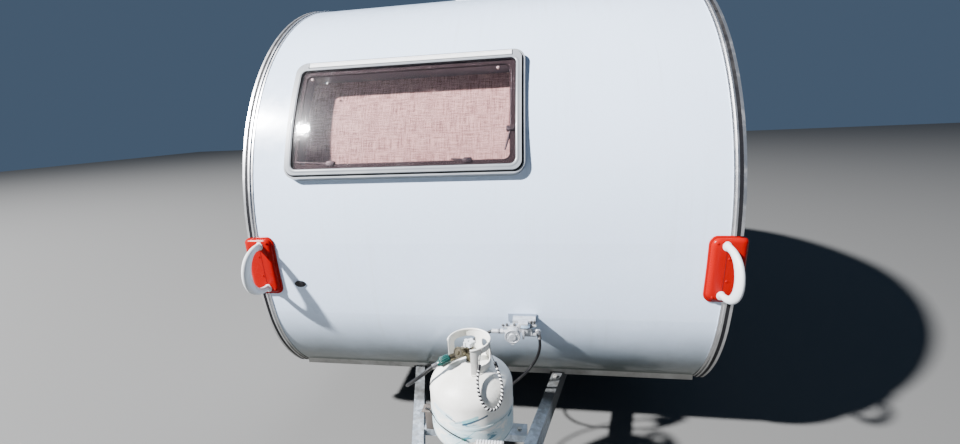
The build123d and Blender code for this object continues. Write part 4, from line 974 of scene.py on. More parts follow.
# Name, frame, glass, how far the frame stands proud, body
WINDOWS = [
    ("front", curved_window(FRONT_WINDOW), curved_window(FRONT_GLASS), FRAME_PROUD, "root"),
    ("rear", curved_window(REAR_WINDOW), curved_window(REAR_GLASS), FRAME_PROUD, "root"),
    ("left", flat_window(LEFT_WINDOW), inner_flat(LEFT_WINDOW), SIDE_PROUD, "root"),
    ("right", flat_window(RIGHT_WINDOW), inner_flat(RIGHT_WINDOW), SIDE_PROUD, "root"),
    ("door", flat_window(DOOR_WINDOW), inner_flat(DOOR_WINDOW), SIDE_PROUD, "door"),
]


def loop_on(window, inset, out):
    """Closed line of points round a window, taken in from its edge, at a height over the skin."""
    carry, width, height, corner = window
    loop = rounded_rectangle(width - 2 * inset, height - 2 * inset, max(0.004, corner - inset))
    return [carry(u, v, out) for u, v in filled_loop(loop)]


def window_seals():
    """Black rubber between frame and pane, and a black bead in the groove round a frame's raised part that is
    painted shade.
    """
    shapes = {"root": Shape(), "door": Shape()}
    for name, outer, glass, proud, body in WINDOWS:
        shapes[body].tube(loop_on(glass, 0.0006, proud - 0.0024), 0.0022, steps=8, closed=True)
        if name in ("front", "rear"):
            # Black bead in the groove: painted shade
            shapes[body].tube(loop_on(outer, GROOVE_MID, 0.0022), 0.0026, steps=8, closed=True)
    shapes["root"].piece("body_window_seals_and_groove_shade", "trim_rubber")
    shapes["door"].piece("door_window_seal", "trim_rubber", "door")


# Panes' glued rims: width, depth under the frame's face, distance from the opening's edge
PANE_RIM_W = 0.022
PANE_UNDER = 0.0125
PANE_GAP = 0.0012


def pane_rims():
    """The glued rim of each double pane: a flat band all round on its inner side."""
    shapes = {"root": Shape(), "door": Shape()}
    for name, _, glass, proud, body in WINDOWS:
        under = proud - PANE_UNDER
        deep = 0.007 if name in ("front", "rear") else 0.003
        carry, width, height, corner = glass
        loop = filled_loop(rounded_rectangle(width - 2 * PANE_GAP, height - 2 * PANE_GAP, corner))
        rows = []
        for inset, out in ((PANE_GAP, under - 0.0004), (PANE_RIM_W, under - 0.0004),
                           (PANE_RIM_W + 0.003, under - deep), (PANE_GAP, under - deep)):
            wide, high = 1 - 2 * inset / width, 1 - 2 * inset / height
            rows.append([carry(u * wide, v * high, out) for u, v in loop])
        shapes[body].loft(rows, closed=True)
    shapes["root"].piece("body_pane_rims", "window_frame", finish=FINISHES["pane_rim"])
    shapes["door"].piece("door_pane_rim", "window_frame", "door", finish=FINISHES["pane_rim"])


CREASES = 7


def cloth_strip(name, carry, width, height, nodes_replaced, body, seed, depth):
    """A blind: a flat cloth with shallow creases, hung between its rails."""
    chance = random.Random(seed)
    waves = []
    for _ in range(CREASES):
        slope = (chance.uniform(4, 18), chance.uniform(3, 14))
        waves.append((*slope, chance.uniform(0, tau), chance.uniform(0.3, 1.0)))
    across, up = 64, 34
    shape = Shape()
    rows = []
    for j in range(up + 1):
        row = []
        for i in range(across + 1):
            u, v = width * (i / across - 0.5), height * (j / up - 0.5)
            folds = [share * sin(a * u / 0.3 + b * v / 0.3 + start) for a, b, start, share in waves]
            row.append(carry(u, v, depth + 0.0011 * (sum(folds) / CREASES)))
        rows.append(row)
    shape.loft(rows, open_rows=True)
    made = shape.piece(name, "blind_weave", body, nodes_replaced, crease=180)


def blinds():
    """The cloth of every window's blind."""
    carry, width, height, _ = curved_window(FRONT_REVEAL)
    cloth_strip("front_blind_cloth", carry, width + 2 * BLIND_PAST, height + 2 * BLIND_PAST,
                ["front_window_blind"], "root", 3, BLIND_OUT)
    others = [row for row in WINDOWS if row[0] in ("rear", "left", "right")]
    for seed, (name, _, (carry, width, height, _), _, body) in enumerate(others):
        cloth_strip(f"{name}_blind_cloth", carry, width - 2 * SMALL_BLIND_GAP, height - 2 * SMALL_BLIND_GAP,
                    ["body_window_blinds"] if name == "rear" else [], body, 11 + seed, SMALL_BLIND_OUT)
    carry, width, height, _ = WINDOWS[4][2]
    cloth_strip("door_blind_cloth", carry, width - 2 * SMALL_BLIND_GAP, height - 2 * SMALL_BLIND_GAP,
                ["door_window_blind"], "door", 21, SMALL_BLIND_OUT)


# Moulded bead round each glass: distance out from the glass's edge, height over the frame's face
BEAD = [(0.0004, -0.0030), (0.0006, 0.0002), (0.0030, 0.0013), (0.0070, 0.0018), (0.0110, 0.0012),
        (0.0142, -0.0006)]
# Over the front glass the rail leaves less room for it
BEAD_TOP_SHARE = 0.6


def frame_beads():
    """Low moulded bead that each frame carries round its glass."""
    shapes = {"root": Shape(), "door": Shape()}
    for name, _, (carry, width, height, corner), proud, body in WINDOWS:
        edge = filled_loop(rounded_rectangle(width, height, corner))
        rows = []
        for out, rise in BEAD:
            wide = filled_loop(rounded_rectangle(width + 2 * out, height + 2 * out, corner + out))
            row = []
            for (_, v_edge), (u, v) in zip(edge, wide):
                if name == "front" and v > 0:
                    v = v_edge + (v - v_edge) * BEAD_TOP_SHARE
                row.append(carry(u, v, proud + rise))
            rows.append(row)
        shapes[body].loft(rows)
    shapes["root"].piece("body_frame_beads", "window_frame")
    shapes["door"].piece("door_frame_bead", "window_frame", "door")


# Latches on the front pane: across, up, lever's end across and up
LATCHES = [(0.2805, -0.2135, 0.2145, -0.2055), (0.4500, -0.091, 0.4275, -0.177),
           (-0.2965, -0.2115, -0.3625, -0.2075)]
# Middle of the hinge rail over the front window's middle
RAIL_UP = 0.24625


def front_window_fittings():
    """Stay, latches and fixings on the inner side of the front pane, and painted shade in the gaps at the
    rail's ends and along its edges.
    """
    carry = WINDOWS[0][1][0]
    inside = FRAME_PROUD - 0.0095

    def tangent_place(u, v, out):
        at = carry(u, v, out)
        up = carry(u, v + 0.01, out) - at
        return place_at(at, (1, 0, 0), Vector((1, 0, 0)).cross(up))

    dark = Shape()
    for u, v, u_end, v_end in LATCHES:
        place = tangent_place(u, v, inside - 0.0015)
        dark.plate(rounded_rectangle(0.036, 0.022, 0.006, 4), -0.012, 0.0012, place, 0.001)
        dark.turned([(0.010, -0.018), (0.010, -0.012), (0, -0.012)], place.translation, z_of(place), 16)
        lever = [carry(u + (u_end - u) * k / 4, v + (v_end - v) * k / 4, inside - 0.007) for k in range(5)]
        dark.tube(lever, [0.0055, 0.0055, 0.0050, 0.0046, 0.0030], 8)
    dark.tube([carry(-0.2965 - 0.165 * k / 6, -0.2105 + 0.010 * k / 6, inside - 0.006) for k in range(7)],
              0.0042, 8)
    dark.piece("front_latches", "black_plastic")
    rod = Shape()
    stay = [carry(0.4523 - 0.002 * k / 8, 0.170 - 0.246 * k / 8, inside - 0.005) for k in range(9)]
    rod.tube(stay, 0.0032, 8)
    rod.piece("front_stay", "zinc_steel", finish=FINISHES["black_plastic"])
    bright = Shape()
    for u, v in ((-0.4200, 0.1785), (0.3959, 0.1821)):
        place = tangent_place(u, v, inside)
        bright.turned([(0.0060, -0.008), (0.0060, -0.001), (0.0045, 0.0), (0, 0.0)], place.translation,
                      z_of(place), 16)
    bright.piece("front_fixings", "zinc_steel")
    # Black blocks in the rail's end gaps and thin black lines along its lower and upper edges: painted shade
    gaps = Shape()
    for x, lean in ((-0.7350, 0.35), (0.1590, 0.0)):
        place = tangent_place(x - FRONT_WINDOW[2], RAIL_UP, 0.0115) @ Matrix.Rotation(-lean, 4, "Z")
        gaps.block((0.0030, 0.0255, 0.0065), place, 0.0008)
    for v, size in ((RAIL_UP - 0.0133, 0.0016), (RAIL_UP + 0.0125, 0.0008)):
        gaps.tube([carry(-0.4385 + 0.890 * k / 8, v, 0.0118) for k in range(9)], size, 8)
    gaps.piece("rail_gap_shade", "black_plastic")


def pan_head(shape, at, axis, radius):
    """Round screw head with a cross recess seen as a dimple."""
    profile = [(radius, -0.001), (radius, 0.0006), (radius * 0.85, 0.0015), (radius * 0.45, 0.0019),
               (radius * 0.3, 0.0008), (0, 0.0004)]
    shape.turned(profile, at, axis, 16)


def ellipse(wide, high, steps=28):
    """Outline points of an ellipse from its half axes."""
    return [(wide * cos(tau * i / steps), high * sin(tau * i / steps)) for i in range(steps)]


def skin_place(x, z, out=0.0):
    """Place on the front skin at a height: x across, y up the skin, z away from it."""
    arc = FRONT_ARC if z > FRONT_ARC[1] else CHIN_ARC
    angle = 180 - degrees(asin((z - arc[1]) / arc[2]))
    y, up = arc_point(arc, angle, out)
    return place_at((x, y, up), (1, 0, 0), (0, cos(radians(angle)), sin(radians(angle))))


# Front corner pieces: inner and outer x, height span, reach back along the wall, how far they stand out
CORNER_IN = 0.888
CORNER_OUT = 1.026
CORNER_LOW = 0.894
CORNER_HIGH = 1.164
CORNER_BACK = 0.108
CORNER_PROUD = 0.020
FLANGE_PROUD = 0.006
FLANGE_W = 0.007
PLAN_CORNER_R = 0.026
# Flange: distance in from the edge, height over the skin, corner radius
FLANGE = [(0.0, 0.0003, 0.036), (0.0, FLANGE_PROUD - 0.001, 0.036), (0.001, FLANGE_PROUD, 0.035),
          (FLANGE_W, FLANGE_PROUD, 0.033)]
# Flank of the moulding: distance in from the flange, share of its height
FLANK = [(0.0, 0.0), (0.0006, 0.22), (0.0018, 0.42), (0.0040, 0.63), (0.0075, 0.82), (0.0115, 0.94),
         (0.0160, 1.0)]
# Screws on its face, across and up
CORNER_SCREWS = [(0.913, 1.139), (0.915, 0.921), (0.957, 1.078), (0.957, 0.989)]


def corner_walk(grow):
    """A corner piece's path at a growth, seen from above: x and the way back, round the body's corner."""
    out = CORNER_OUT - CORNER_PROUD + grow
    points = [(CORNER_IN + (out - PLAN_CORNER_R - CORNER_IN) * i / 12, 0.0) for i in range(13)]
    for i in range(1, 9):
        turn = radians(90 * i / 9)
        points.append((out - PLAN_CORNER_R + PLAN_CORNER_R * sin(turn), PLAN_CORNER_R * (1 - cos(turn))))
    points += [(out, PLAN_CORNER_R + (CORNER_BACK - PLAN_CORNER_R) * i / 9) for i in range(10)]
    return points


def corner_pieces():
    """Moulded corner pieces: a flange, rounded flanks and a face that wraps from skin to wall."""
    shape = Shape()
    for side in (-1, 1):
        high = CORNER_HIGH - CORNER_LOW
        middle = (CORNER_HIGH + CORNER_LOW) / 2
        length = corner_walk(CORNER_PROUD)
        run = [0.0]
        for a, b in zip(length, length[1:]):
            run.append(run[-1] + sqrt((b[0] - a[0]) ** 2 + (b[1] - a[1]) ** 2))
        wide = run[-1]

        def carry(along, up, grow):
            """Point at a distance along the walk and a height, on the shell at a growth."""
            walk = corner_walk(grow)
            i = 0
            while i < len(run) - 2 and run[i + 1] < along:
                i += 1
            part = (along - run[i]) / (run[i + 1] - run[i])
            x = walk[i][0] + (walk[i + 1][0] - walk[i][0]) * part
            back = walk[i][1] + (walk[i + 1][1] - walk[i][1]) * part
            z = middle + up
            arc = FRONT_ARC if z > FRONT_ARC[1] else CHIN_ARC
            y = arc[0] - sqrt((arc[2] + grow) ** 2 - (z - arc[1]) ** 2) + back
            return Vector((side * x, y, z))

        def ring_rows(inset, corner):
            """Outline of the piece taken in by an amount, in distance along the walk and height."""
            loop = rounded_rectangle(wide - 2 * inset, high - 2 * inset, corner, 10)
            return [(x + wide / 2, y) for x, y in filled_loop(loop, 20, 0.02)]

        rows = []
        for inset, grow, corner in FLANGE:
            rows.append([carry(u, v, grow) for u, v in ring_rows(inset, corner)])
        for inset, share in FLANK[1:]:
            grow = FLANGE_PROUD + (CORNER_PROUD - FLANGE_PROUD) * share
            rows.append([carry(u, v, grow) for u, v in ring_rows(FLANGE_W + inset, 0.033 - inset * 0.7)])
        last = FLANGE_W + FLANK[-1][0]
        inner = ring_rows(last, 0.022)
        for share in (0.85, 0.70, 0.55, 0.40, 0.25, 0.12):
            rows.append([carry(wide / 2 + (u - wide / 2) * share, v * share, CORNER_PROUD) for u, v in inner])
        rows.append([carry(wide / 2, 0.0, CORNER_PROUD)])
        shape.loft(rows)
    shape.piece("front_corners_shown", "red_plastic", replaces=["front_corner_pieces"], crease=50)


def corner_fittings():
    """Screws and the fine line on the corner pieces' faces, a dark strip of painted shade in a groove, and
    the grab handles' feet.
    """
    screws = Shape()
    lines = Shape()
    feet = Shape()
    for side in (-1, 1):
        for x, z in CORNER_SCREWS:
            place = skin_place(side * x, z, CORNER_PROUD)
            pan_head(screws, place.translation, z_of(place), 0.0046)
        # Fine line: a dark strip as painted shade in a groove down each face
        heights = (0.925, 0.97, 1.01, 1.05, 1.09, 1.135)
        line = [skin_place(side * 0.9465, z, CORNER_PROUD + 0.0001).translation for z in heights]
        lines.tube(line, 0.0007, 6)
        for x, z in ((0.945, 1.128), (0.945, 0.930)):
            place = skin_place(side * x, z, CORNER_PROUD)
            feet.plate(ellipse(0.0155, 0.0185), -0.002, 0.0035, place, 0.002)
    screws.piece("corner_screws", "red_plastic")
    lines.piece("corner_groove_shade", "trim_rubber")
    feet.piece("handle_feet", "grey_plastic")


# Joint between the two skins, on the back arc: its distance behind the arc's centre, and its angle
JOINT_BACK = 0.955
JOINT_ANGLE = 70.77


def skin_fittings():
    """Oval black fitting low on the front skin, and the sealed joint between the two skins."""
    shape = Shape()
    place = skin_place(-0.799, 0.943)
    shape.plate(ellipse(0.0265, 0.0150), -0.001, 0.0040, place, 0.0015)
    shape.plate(ellipse(0.0190, 0.0095), 0.0035, 0.0068, place, 0.0015)
    for x in (-0.0225, 0.0225):
        spot = place @ Vector((x, 0, 0.004))
        pan_head(shape, spot, z_of(place), 0.0022)
    shape.piece("oval_fitting", "black_plastic")
    seal = Shape()
    angle = degrees(atan2(BACK_ARC[2] * sin(radians(JOINT_ANGLE)), JOINT_BACK))
    y, z = arc_point(BACK_ARC, angle, 0.0002)
    seal.tube([(-0.962 + 1.924 * i / 8, y, z) for i in range(9)], 0.0022, 8)
    seal.piece("skin_joint_seal", "trim_rubber")


# Green nut from its start: height, radius and depth of its ribs
NUT_ROWS = [(0.0, 0.0150, 0.0), (0.0015, 0.0172, 0.0), (0.0060, 0.0172, 0.0), (0.0072, 0.0189, 0.0018),
            (0.0330, 0.0189, 0.0018), (0.0352, 0.0178, 0.0010), (0.0362, 0.0150, 0.0),
            (0.0400, 0.0118, 0.0), (0.0478, 0.0100, 0.0)]
NUT_RIBS = 16


def sleeve(shape, start, towards, length, radius, grips=3):
    """Crimped sleeve on a hose's end, with pressed rings."""
    profile = [(radius * 0.86, 0.0), (radius, 0.0006)]
    for i in range(grips):
        low = length * (0.15 + 0.7 * i / grips)
        high = length * (0.15 + 0.7 * (i + 0.6) / grips)
        profile += [(radius, low), (radius * 0.93, low + 0.0006), (radius * 0.93, high - 0.0006),
                    (radius, high)]
    profile += [(radius, length - 0.0006), (radius * 0.86, length)]
    axis = Vector(towards) - Vector(start)
    shape.turned(profile, start, axis, 24)


def valve_details():
    """Ribbed nut, brass fittings, ring on the cap and screw of the handwheel."""
    axis = (NUT_END - NUT_START).normalized()
    side = axis.orthogonal().normalized()
    other = axis.cross(side)
    nut = Shape()
    rows = []
    for height, radius, depth in NUT_ROWS:
        centre = NUT_START + axis * height
        row = []
        for i in range(NUT_RIBS * 6):
            turn = tau * i / (NUT_RIBS * 6)
            reach = radius - depth * (0.5 - 0.5 * cos(NUT_RIBS * turn))
            row.append(centre + (side * cos(turn) + other * sin(turn)) * reach)
        rows.append(row)
    nut.loft(rows, capped=True)
    nut.piece("ribbed_nut", "green_plastic", replaces=["valve_nut"], crease=45)
    brass = Shape()
    centre = Vector((GAS_X, GAS_Y, 0))
    brass.hexagon(0.034, 0.0, 0.010, centre + Vector((0, 0, GAS_Z + 0.3905)), (0, 0, 1))
    cap_back, cap_face = Vector((-0.015, -1.497, 0.810)), Vector((-0.027, -1.521, 0.822))
    out = (cap_face - cap_back).normalized()
    cap = [(0.0186, -0.0030), (0.0195, -0.0022), (0.0195, -0.0004), (0.0180, 0.0010), (0.0135, 0.0010),
           (0.0125, -0.0006)]
    brass.turned(cap, cap_face, out, 28)
    brass.hexagon(0.013, 0.0, 0.0045, cap_face, out)
    start = centre + Vector((0, 0, GAS_Z + 0.395))
    for step in (0.0100, 0.0125, 0.0150, 0.0175):
        thread = [(0.0118, step), (0.0130, step + 0.0006), (0.0130, step + 0.0012), (0.0118, step + 0.0018)]
        brass.turned(thread, start + (NUT_START - start).normalized() * 0.026, NUT_START - start, 20)
    brass.piece("valve_fittings", "brass")
    dark = Shape()
    dark.turned([(0.0160, 0.0), (0.0160, 0.0016), (0.0142, 0.0016), (0.0142, 0.0)], cap_face, out, 28,
                closed=True)
    dark.piece("valve_cap_ring", "black_plastic")
    top = Shape()
    pan_head(top, centre + Vector((0, 0, GAS_Z + 0.4290)), (0, 0, 1), 0.0046)
    top.piece("handwheel_screw", "zinc_steel")


# Upright bolts on the regulator's pipe: x, y, z of the seat, radius, height
PIPE_BOLTS = [(0.1125, -1.284, 0.8010, 0.0052, 0.0065), (0.1290, -1.282, 0.8010, 0.0052, 0.0090),
              (0.1585, -1.278, 0.8010, 0.0052, 0.0090)]


def regulator_details():
    """Cap, nuts, bolts and band of the regulator, and the sleeves on the hoses' ends."""
    metal = Shape()
    facing = Vector((0, -32, -3)).normalized()
    face = Vector((0.152, -1.306, 0.765))
    cap = [(0.0300, -0.0050), (0.0318, -0.0040), (0.0318, 0.0006), (0.0300, 0.0022), (0.0272, 0.0022),
           (0.0262, 0.0004), (0.0165, 0.0008), (0.0150, 0.0046), (0.0135, 0.0056), (0, 0.0056)]
    metal.turned(cap, face, facing, 40)
    for i in range(6):
        turn = tau * (i + 0.5) / 6
        spot = face + Vector((cos(turn), 0.094 * -sin(turn), sin(turn))) * 0.0215 + facing * 0.0004
        pan_head(metal, spot, facing, 0.0028)
    sleeve(metal, (0.0655, -1.282, 0.7752), (0.10, -1.283, 0.7756), 0.0245, 0.0096)
    metal.hexagon(0.0205, 0.0, 0.0125, (0.1010, -1.283, 0.7756), (1, 0, 0))
    metal.hexagon(0.0190, 0.0, 0.0100, (0.2150, -1.2655, 0.7625), (1, 0, 0))
    metal.hexagon(0.0200, 0.0, 0.0090, (0.256, -1.264, 0.7705), (0, 0, -1))
    metal.block((0.0400, 0.0340, 0.0200), Matrix.Translation((0.1945, -1.2790, 0.8080)), 0.004)
    metal.block((0.0085, 0.0120, 0.0370), Matrix.Translation((0.1957, -1.2930, 0.7680)), 0.002)
    metal.turned([(0.0072, 0.0), (0.0078, 0.001), (0.0078, 0.006), (0.0060, 0.0085), (0, 0.0090)],
                 (0.2512, -1.2760, 0.7790), (0, -1, 0), 20)
    metal.tube([(0.1540, -1.279, 0.797), (0.1540, -1.279, 0.812)], 0.0034, 10)
    metal.piece("regulator_fittings", "cast_grey")
    dark = Shape()
    dark.turned([(0.0085, 0.0), (0.0108, 0.0008), (0.0108, 0.0042), (0.0085, 0.0050)],
                (0.0935, -1.2828, 0.7755), (1, 0, 0), 24)
    for x, y, z, radius, height in PIPE_BOLTS:
        dark.hexagon(radius * 1.9, 0.0, height, (x, y, z), (0, 0, 1))
    for x in (0.2275, 0.2400):
        dark.turned([(0.0058, 0.0), (0.0058, 0.006), (0.0046, 0.0075), (0, 0.0075)], (x, -1.2640, 0.8120),
                    (0, -1, 0), 16)
        dark.tube([(x, -1.262, 0.800), (x, -1.262, 0.814)], 0.0045, 10)
    dark.piece("regulator_bolts", "black_metal")
    band = Shape()
    rows = []
    for i in range(13):
        x = 0.1780 + 0.0440 * i / 12
        y = -1.2978 + 0.0050 * (abs(i - 6) / 6) ** 2
        rows.append([Vector((x, y, z)) for z in (0.8000, 0.8115)])
    band.loft(rows, open_rows=True)
    band.piece("regulator_band", "cast_grey", finish=FINISHES["band_blue"])
    sleeves = Shape()
    sleeve(sleeves, (0.256, -1.264, 0.7590), (0.262, -1.266, 0.727), 0.024, 0.0085)
    sleeve(sleeves, (0.054, -0.903, 0.3563), (0.054, -0.968, 0.350), 0.024, 0.0085)
    start, after = Vector(PIGTAIL[0]), Vector(PIGTAIL[1])
    sleeve(sleeves, start - (after - start).normalized() * 0.002, after, 0.022, 0.0086)
    sleeves.piece("hose_sleeves", "zinc_steel", finish=FINISHES["sleeve_steel"])


# Weld beads on the cylinder: radius, height over its foot, first and last angle, thickness
WELDS = [(0.0782, 0.3442, 283, 548, 0.0021), (0.1062, 0.0552, 0, 360, 0.0024)]
# Degrees round the cylinder times millimetres of radius from one point of a bead to the next
WELD_STEP = 150
# Middle of the hold-down
HOLD_X = -0.1785
# Thin cord that lies over the cylinder's lower part
HOLD_CORD = [(-0.1785, -1.468, 0.533), (-0.175, -1.500, 0.560), (-0.158, -1.528, 0.590),
             (-0.1310, -1.5585, 0.598), (-0.1000, -1.5965, 0.588), (-0.0663, -1.6255, 0.588),
             (-0.0320, -1.6415, 0.580), (-0.0050, -1.6460, 0.572)]


def cylinder_details():
    """Weld beads on the gas cylinder, and the hold-down with its thin cord."""
    welds = Shape()
    chance = random.Random(5)
    for radius, z, first, last, thick in WELDS:
        count = round((last - first) * radius * 1000 / WELD_STEP)
        whole = last - first == 360
        points = []
        for i in range(count):
            turn = radians(first + (last - first) * i / (count if whole else count - 1))
            points.append((GAS_X + radius * cos(turn), GAS_Y + radius * sin(turn), GAS_Z + z))
        welds.tube(points, [thick * chance.uniform(0.80, 1.20) for _ in points], 8, closed=whole)
    welds.piece("cylinder_welds", "cylinder_paint")
    strap = Shape()
    strap.block((0.038, 0.004, 0.118), Matrix.Translation((HOLD_X, -1.4360, 0.4710)), 0.001)
    strap.block((0.038, 0.046, 0.004), Matrix.Translation((HOLD_X, -1.4570, 0.5280)), 0.001)
    strap.block((0.038, 0.030, 0.004), Matrix.Translation((HOLD_X, -1.4230, 0.4150)), 0.001)
    for y, z in ((-1.4230, 0.4170), (-1.4650, 0.5300)):
        strap.hexagon(0.013, 0.0, 0.006, (HOLD_X, y, z), (0, 0, 1))
    strap.piece("hold_down", "drum_iron")
    cord = Shape()
    path = spline_points(HOLD_CORD, 0.004)
    cord.tube(path, 0.0022, 8)
    made = cord.piece("hold_down_cord", "hose_rubber")
    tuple(HOLD_CORD[0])
    tip = Shape()
    tip.turned([(0.0030, 0.0), (0.0034, 0.001), (0.0034, 0.014), (0.0026, 0.016), (0, 0.0165)], HOLD_CORD[-1],
               Vector(HOLD_CORD[-1]) - Vector(HOLD_CORD[-2]), 14)
    tip.piece("hold_down_tip", "green_plastic")


# Wire hooks, from the striped cord's ends up over the collar's rim
HOOKS = [
    [(0.0551, -1.5595, 0.8010), (0.0565, -1.5610, 0.8250), (0.0640, -1.5620, 0.8500),
     (0.0665, -1.5590, 0.8600), (0.0655, -1.5530, 0.8625), (0.0640, -1.5490, 0.8560)],
    [(0.1010, -1.5040, 0.7780), (0.0930, -1.5080, 0.8000), (0.0890, -1.5130, 0.8300),
     (0.0870, -1.5150, 0.8560), (0.0825, -1.5130, 0.8625), (0.0795, -1.5110, 0.8560)],
]


def cord_ends():
    """Sleeves at the striped cord's ends and the wire hooks that hold it to the collar."""
    sleeves = Shape()
    sleeve(sleeves, (0.0552, -1.5590, 0.8030), STRIPED[1], 0.020, 0.0066, 2)
    sleeve(sleeves, (0.1015, -1.5035, 0.7775), STRIPED[-2], 0.020, 0.0066, 2)
    sleeves.piece("cord_sleeves", "black_plastic")
    wires = Shape()
    for points in HOOKS:
        wires.tube(spline_points(points, 0.002), 0.0013, 8)
    wires.piece("cord_hooks", "black_metal")


# Bolts that stand on the drawbar, on both sides: x, y, z
TOP_BOLTS = [(0.0640, -2.146, 0.4230), (0.0600, -2.094, 0.4250), (0.0690, -2.044, 0.4250),
             (0.1780, -1.408, 0.4130), (0.1510, -1.562, 0.4130)]


def underbody_bolts():
    """Bolts of the drawbar, coupler, jack plate, cross members, axle and steady brackets."""
    bolts = Shape()
    for place in [(side * x, y, z) for side in (-1, 1) for x, y, z in TOP_BOLTS]:
        bolts.turned([(0.0105, 0.0), (0.0105, 0.0014), (0.0098, 0.0018)], place, (0, 0, 1), 20)
        bolts.hexagon(0.0155, 0.0018, 0.0085, place, (0, 0, 1))
    bolts.hexagon(0.0190, 0.0, 0.0095, (0.3314, -1.068, 0.4202), (0, 0, 1))
    for side in (-1, 1):
        for y in (0.500, 0.590):
            bolts.hexagon(0.0170, 0.0, 0.0085, (side * 0.4608, y, 0.3700), (side, 0, 0))
        for y in (1.425, 1.455):
            for x in (0.618, 0.662):
                bolts.hexagon(0.0100, 0.0, 0.0050, (side * x, y, 0.4090), (0, 0, -1))
        for x in (-0.031, 0.031):
            bolts.hexagon(0.0130, 0.0, 0.0050, (side * 0.640 + x, 1.440, 0.372), (1 if x > 0 else -1, 0, 0))
        for y in (-0.640, 1.300):
            for x in (0.52, 0.72, 0.90):
                bolts.hexagon(0.0120, 0.0, 0.0055, (side * x, y, 0.3550), (0, 0, -1))
    bolts.piece("frame_bolts", "zinc_steel")


JACK_Y = -2.075


def jack_ring(radius, z):
    """Level circle of points round the jack's tube."""
    return [(radius * cos(tau * i / 60), JACK_Y + radius * sin(tau * i / 60), z) for i in range(60)]


def jack_details():
    """Grip rings, cap screw and welds of the tongue jack."""
    dark = Shape()
    for i in range(9):
        dark.turned([(0.0120, 0.0), (0.0132, 0.0008), (0.0132, 0.0040), (0.0120, 0.0048)],
                    (0.1020 + 0.0074 * i, -1.929, 0.822), (1, 0, 0), 24)
    dark.piece("jack_grip", "grey_plastic")
    bright = Shape()
    bright.hexagon(0.0220, 0.0, 0.0090, (0, JACK_Y, 0.8450), (0, 0, 1))
    bright.turned([(0.0155, 0.0), (0.0155, 0.0030), (0.0140, 0.0040)], (0.0440, JACK_Y, 0.822), (1, 0, 0), 24)
    bright.tube(jack_ring(0.0372, 0.4262), 0.0024, 8, closed=True)
    bright.piece("jack_fittings", "zinc_steel")
    lower = Shape()
    lower.tube(jack_ring(0.0338, 0.0072), 0.0022, 8, closed=True)
    lower.turned([(0.0240, 0.0), (0.0236, 0.0012), (0.0222, 0.0012)], (0, JACK_Y, 0.0200), (0, 0, 1), 32)
    lower.piece("jack_foot_weld", "zinc_steel", "jack_foot")


# Tyre's half section: offset across the wheel, radius, and 1 where shoulder or 2 where middle blocks are cut
SIDEWALL = (-0.0078, 0.2505, 0.1006)
SIDEWALL_ANGLES = (-44, -41, -40, -36, -35, -30, -22, -14, -13.4, -10, -9.4, 0, 8, 14, 14.6, 17,
                   17.6, 22, 27, 31.4)
RAISED_ANGLES = (-40, -36)
SUNK_ANGLES = (-13.4, -10, 14.6, 17)
TREAD = [(0.0640, 0.3130, 1), (0.0520, 0.3130, 1), (0.0498, 0.3130, 0), (0.0492, 0.3064, 0),
         (0.0428, 0.3064, 0), (0.0422, 0.3130, 2), (0.0345, 0.3130, 2), (0.0268, 0.3130, 2),
         (0.0262, 0.3060, 0), (0.0178, 0.3060, 0), (0.0172, 0.3130, 0), (0.0060, 0.3130, 0)]
TREAD_BLOCKS = 60
# Along one block: share of its length, depth of the shoulder's cut and of the middle's
BLOCK_STEPS = [(0.0, 0, 0), (0.34, 0, 0), (0.36, 0, 1), (0.42, 0, 1), (0.44, 0, 0), (0.72, 0, 0),
               (0.75, 1, 0), (0.97, 1, 0)]
CUT_DEPTH = (0.0, 0.0055, 0.0045)


def tyre_half():
    """Section from the bead over the sidewall, with its rings and grooves, to the tread's middle."""
    across, middle, radius = SIDEWALL
    half = [(0.0620, 0.1640, 0), (0.0620, 0.1780, 0)]
    for angle in SIDEWALL_ANGLES:
        lift = 0.0012 if angle in RAISED_ANGLES else (-0.0007 if angle in SUNK_ANGLES else 0.0)
        turn = radians(angle)
        out = radius + lift
        half.append((across + out * cos(turn), middle + out * sin(turn), 1 if angle > 26 else 0))
    return half + [(0.0757, 0.3072, 1), (0.0715, 0.3112, 1)] + TREAD


def tyres():
    """Tyres with blocks cut into shoulder and middle."""
    half = tyre_half()
    section = half + [(-x, r, kind) for x, r, kind in reversed(half)]
    for side, name in ((1, "left"), (-1, "right")):
        shape = Shape()
        rows = []
        for block in range(TREAD_BLOCKS):
            for share, shoulder, middle in BLOCK_STEPS:
                turn = tau * (block + share) / TREAD_BLOCKS
                row = []
                for x, r, kind in section:
                    cut = CUT_DEPTH[kind] * (shoulder if kind == 1 else middle)
                    if kind == 1 and r < 0.308:
                        cut *= 0.5
                    y, z = (r - cut) * cos(turn), (r - cut) * sin(turn)
                    row.append(Vector((side * (WHEEL_X + x), WHEEL_Y + y, WHEEL_Z + z)))
                rows.append(row)
        shape.loft(rows, closed=True)
        shape.piece(f"tyre_{name}_shown", "tyre", f"wheel_{name}", [f"tyre_{name}"], crease=28)


# Wheel bolts' and valve stem's distance from the hub, and the stem's profile
BOLTS_R = 0.049
STEM_R = 0.1485
STEM = [(0.0075, 0.0), (0.0070, 0.004), (0.0045, 0.008), (0.0042, 0.026), (0.0050, 0.0265),
        (0.0050, 0.034), (0.0040, 0.036), (0, 0.036)]


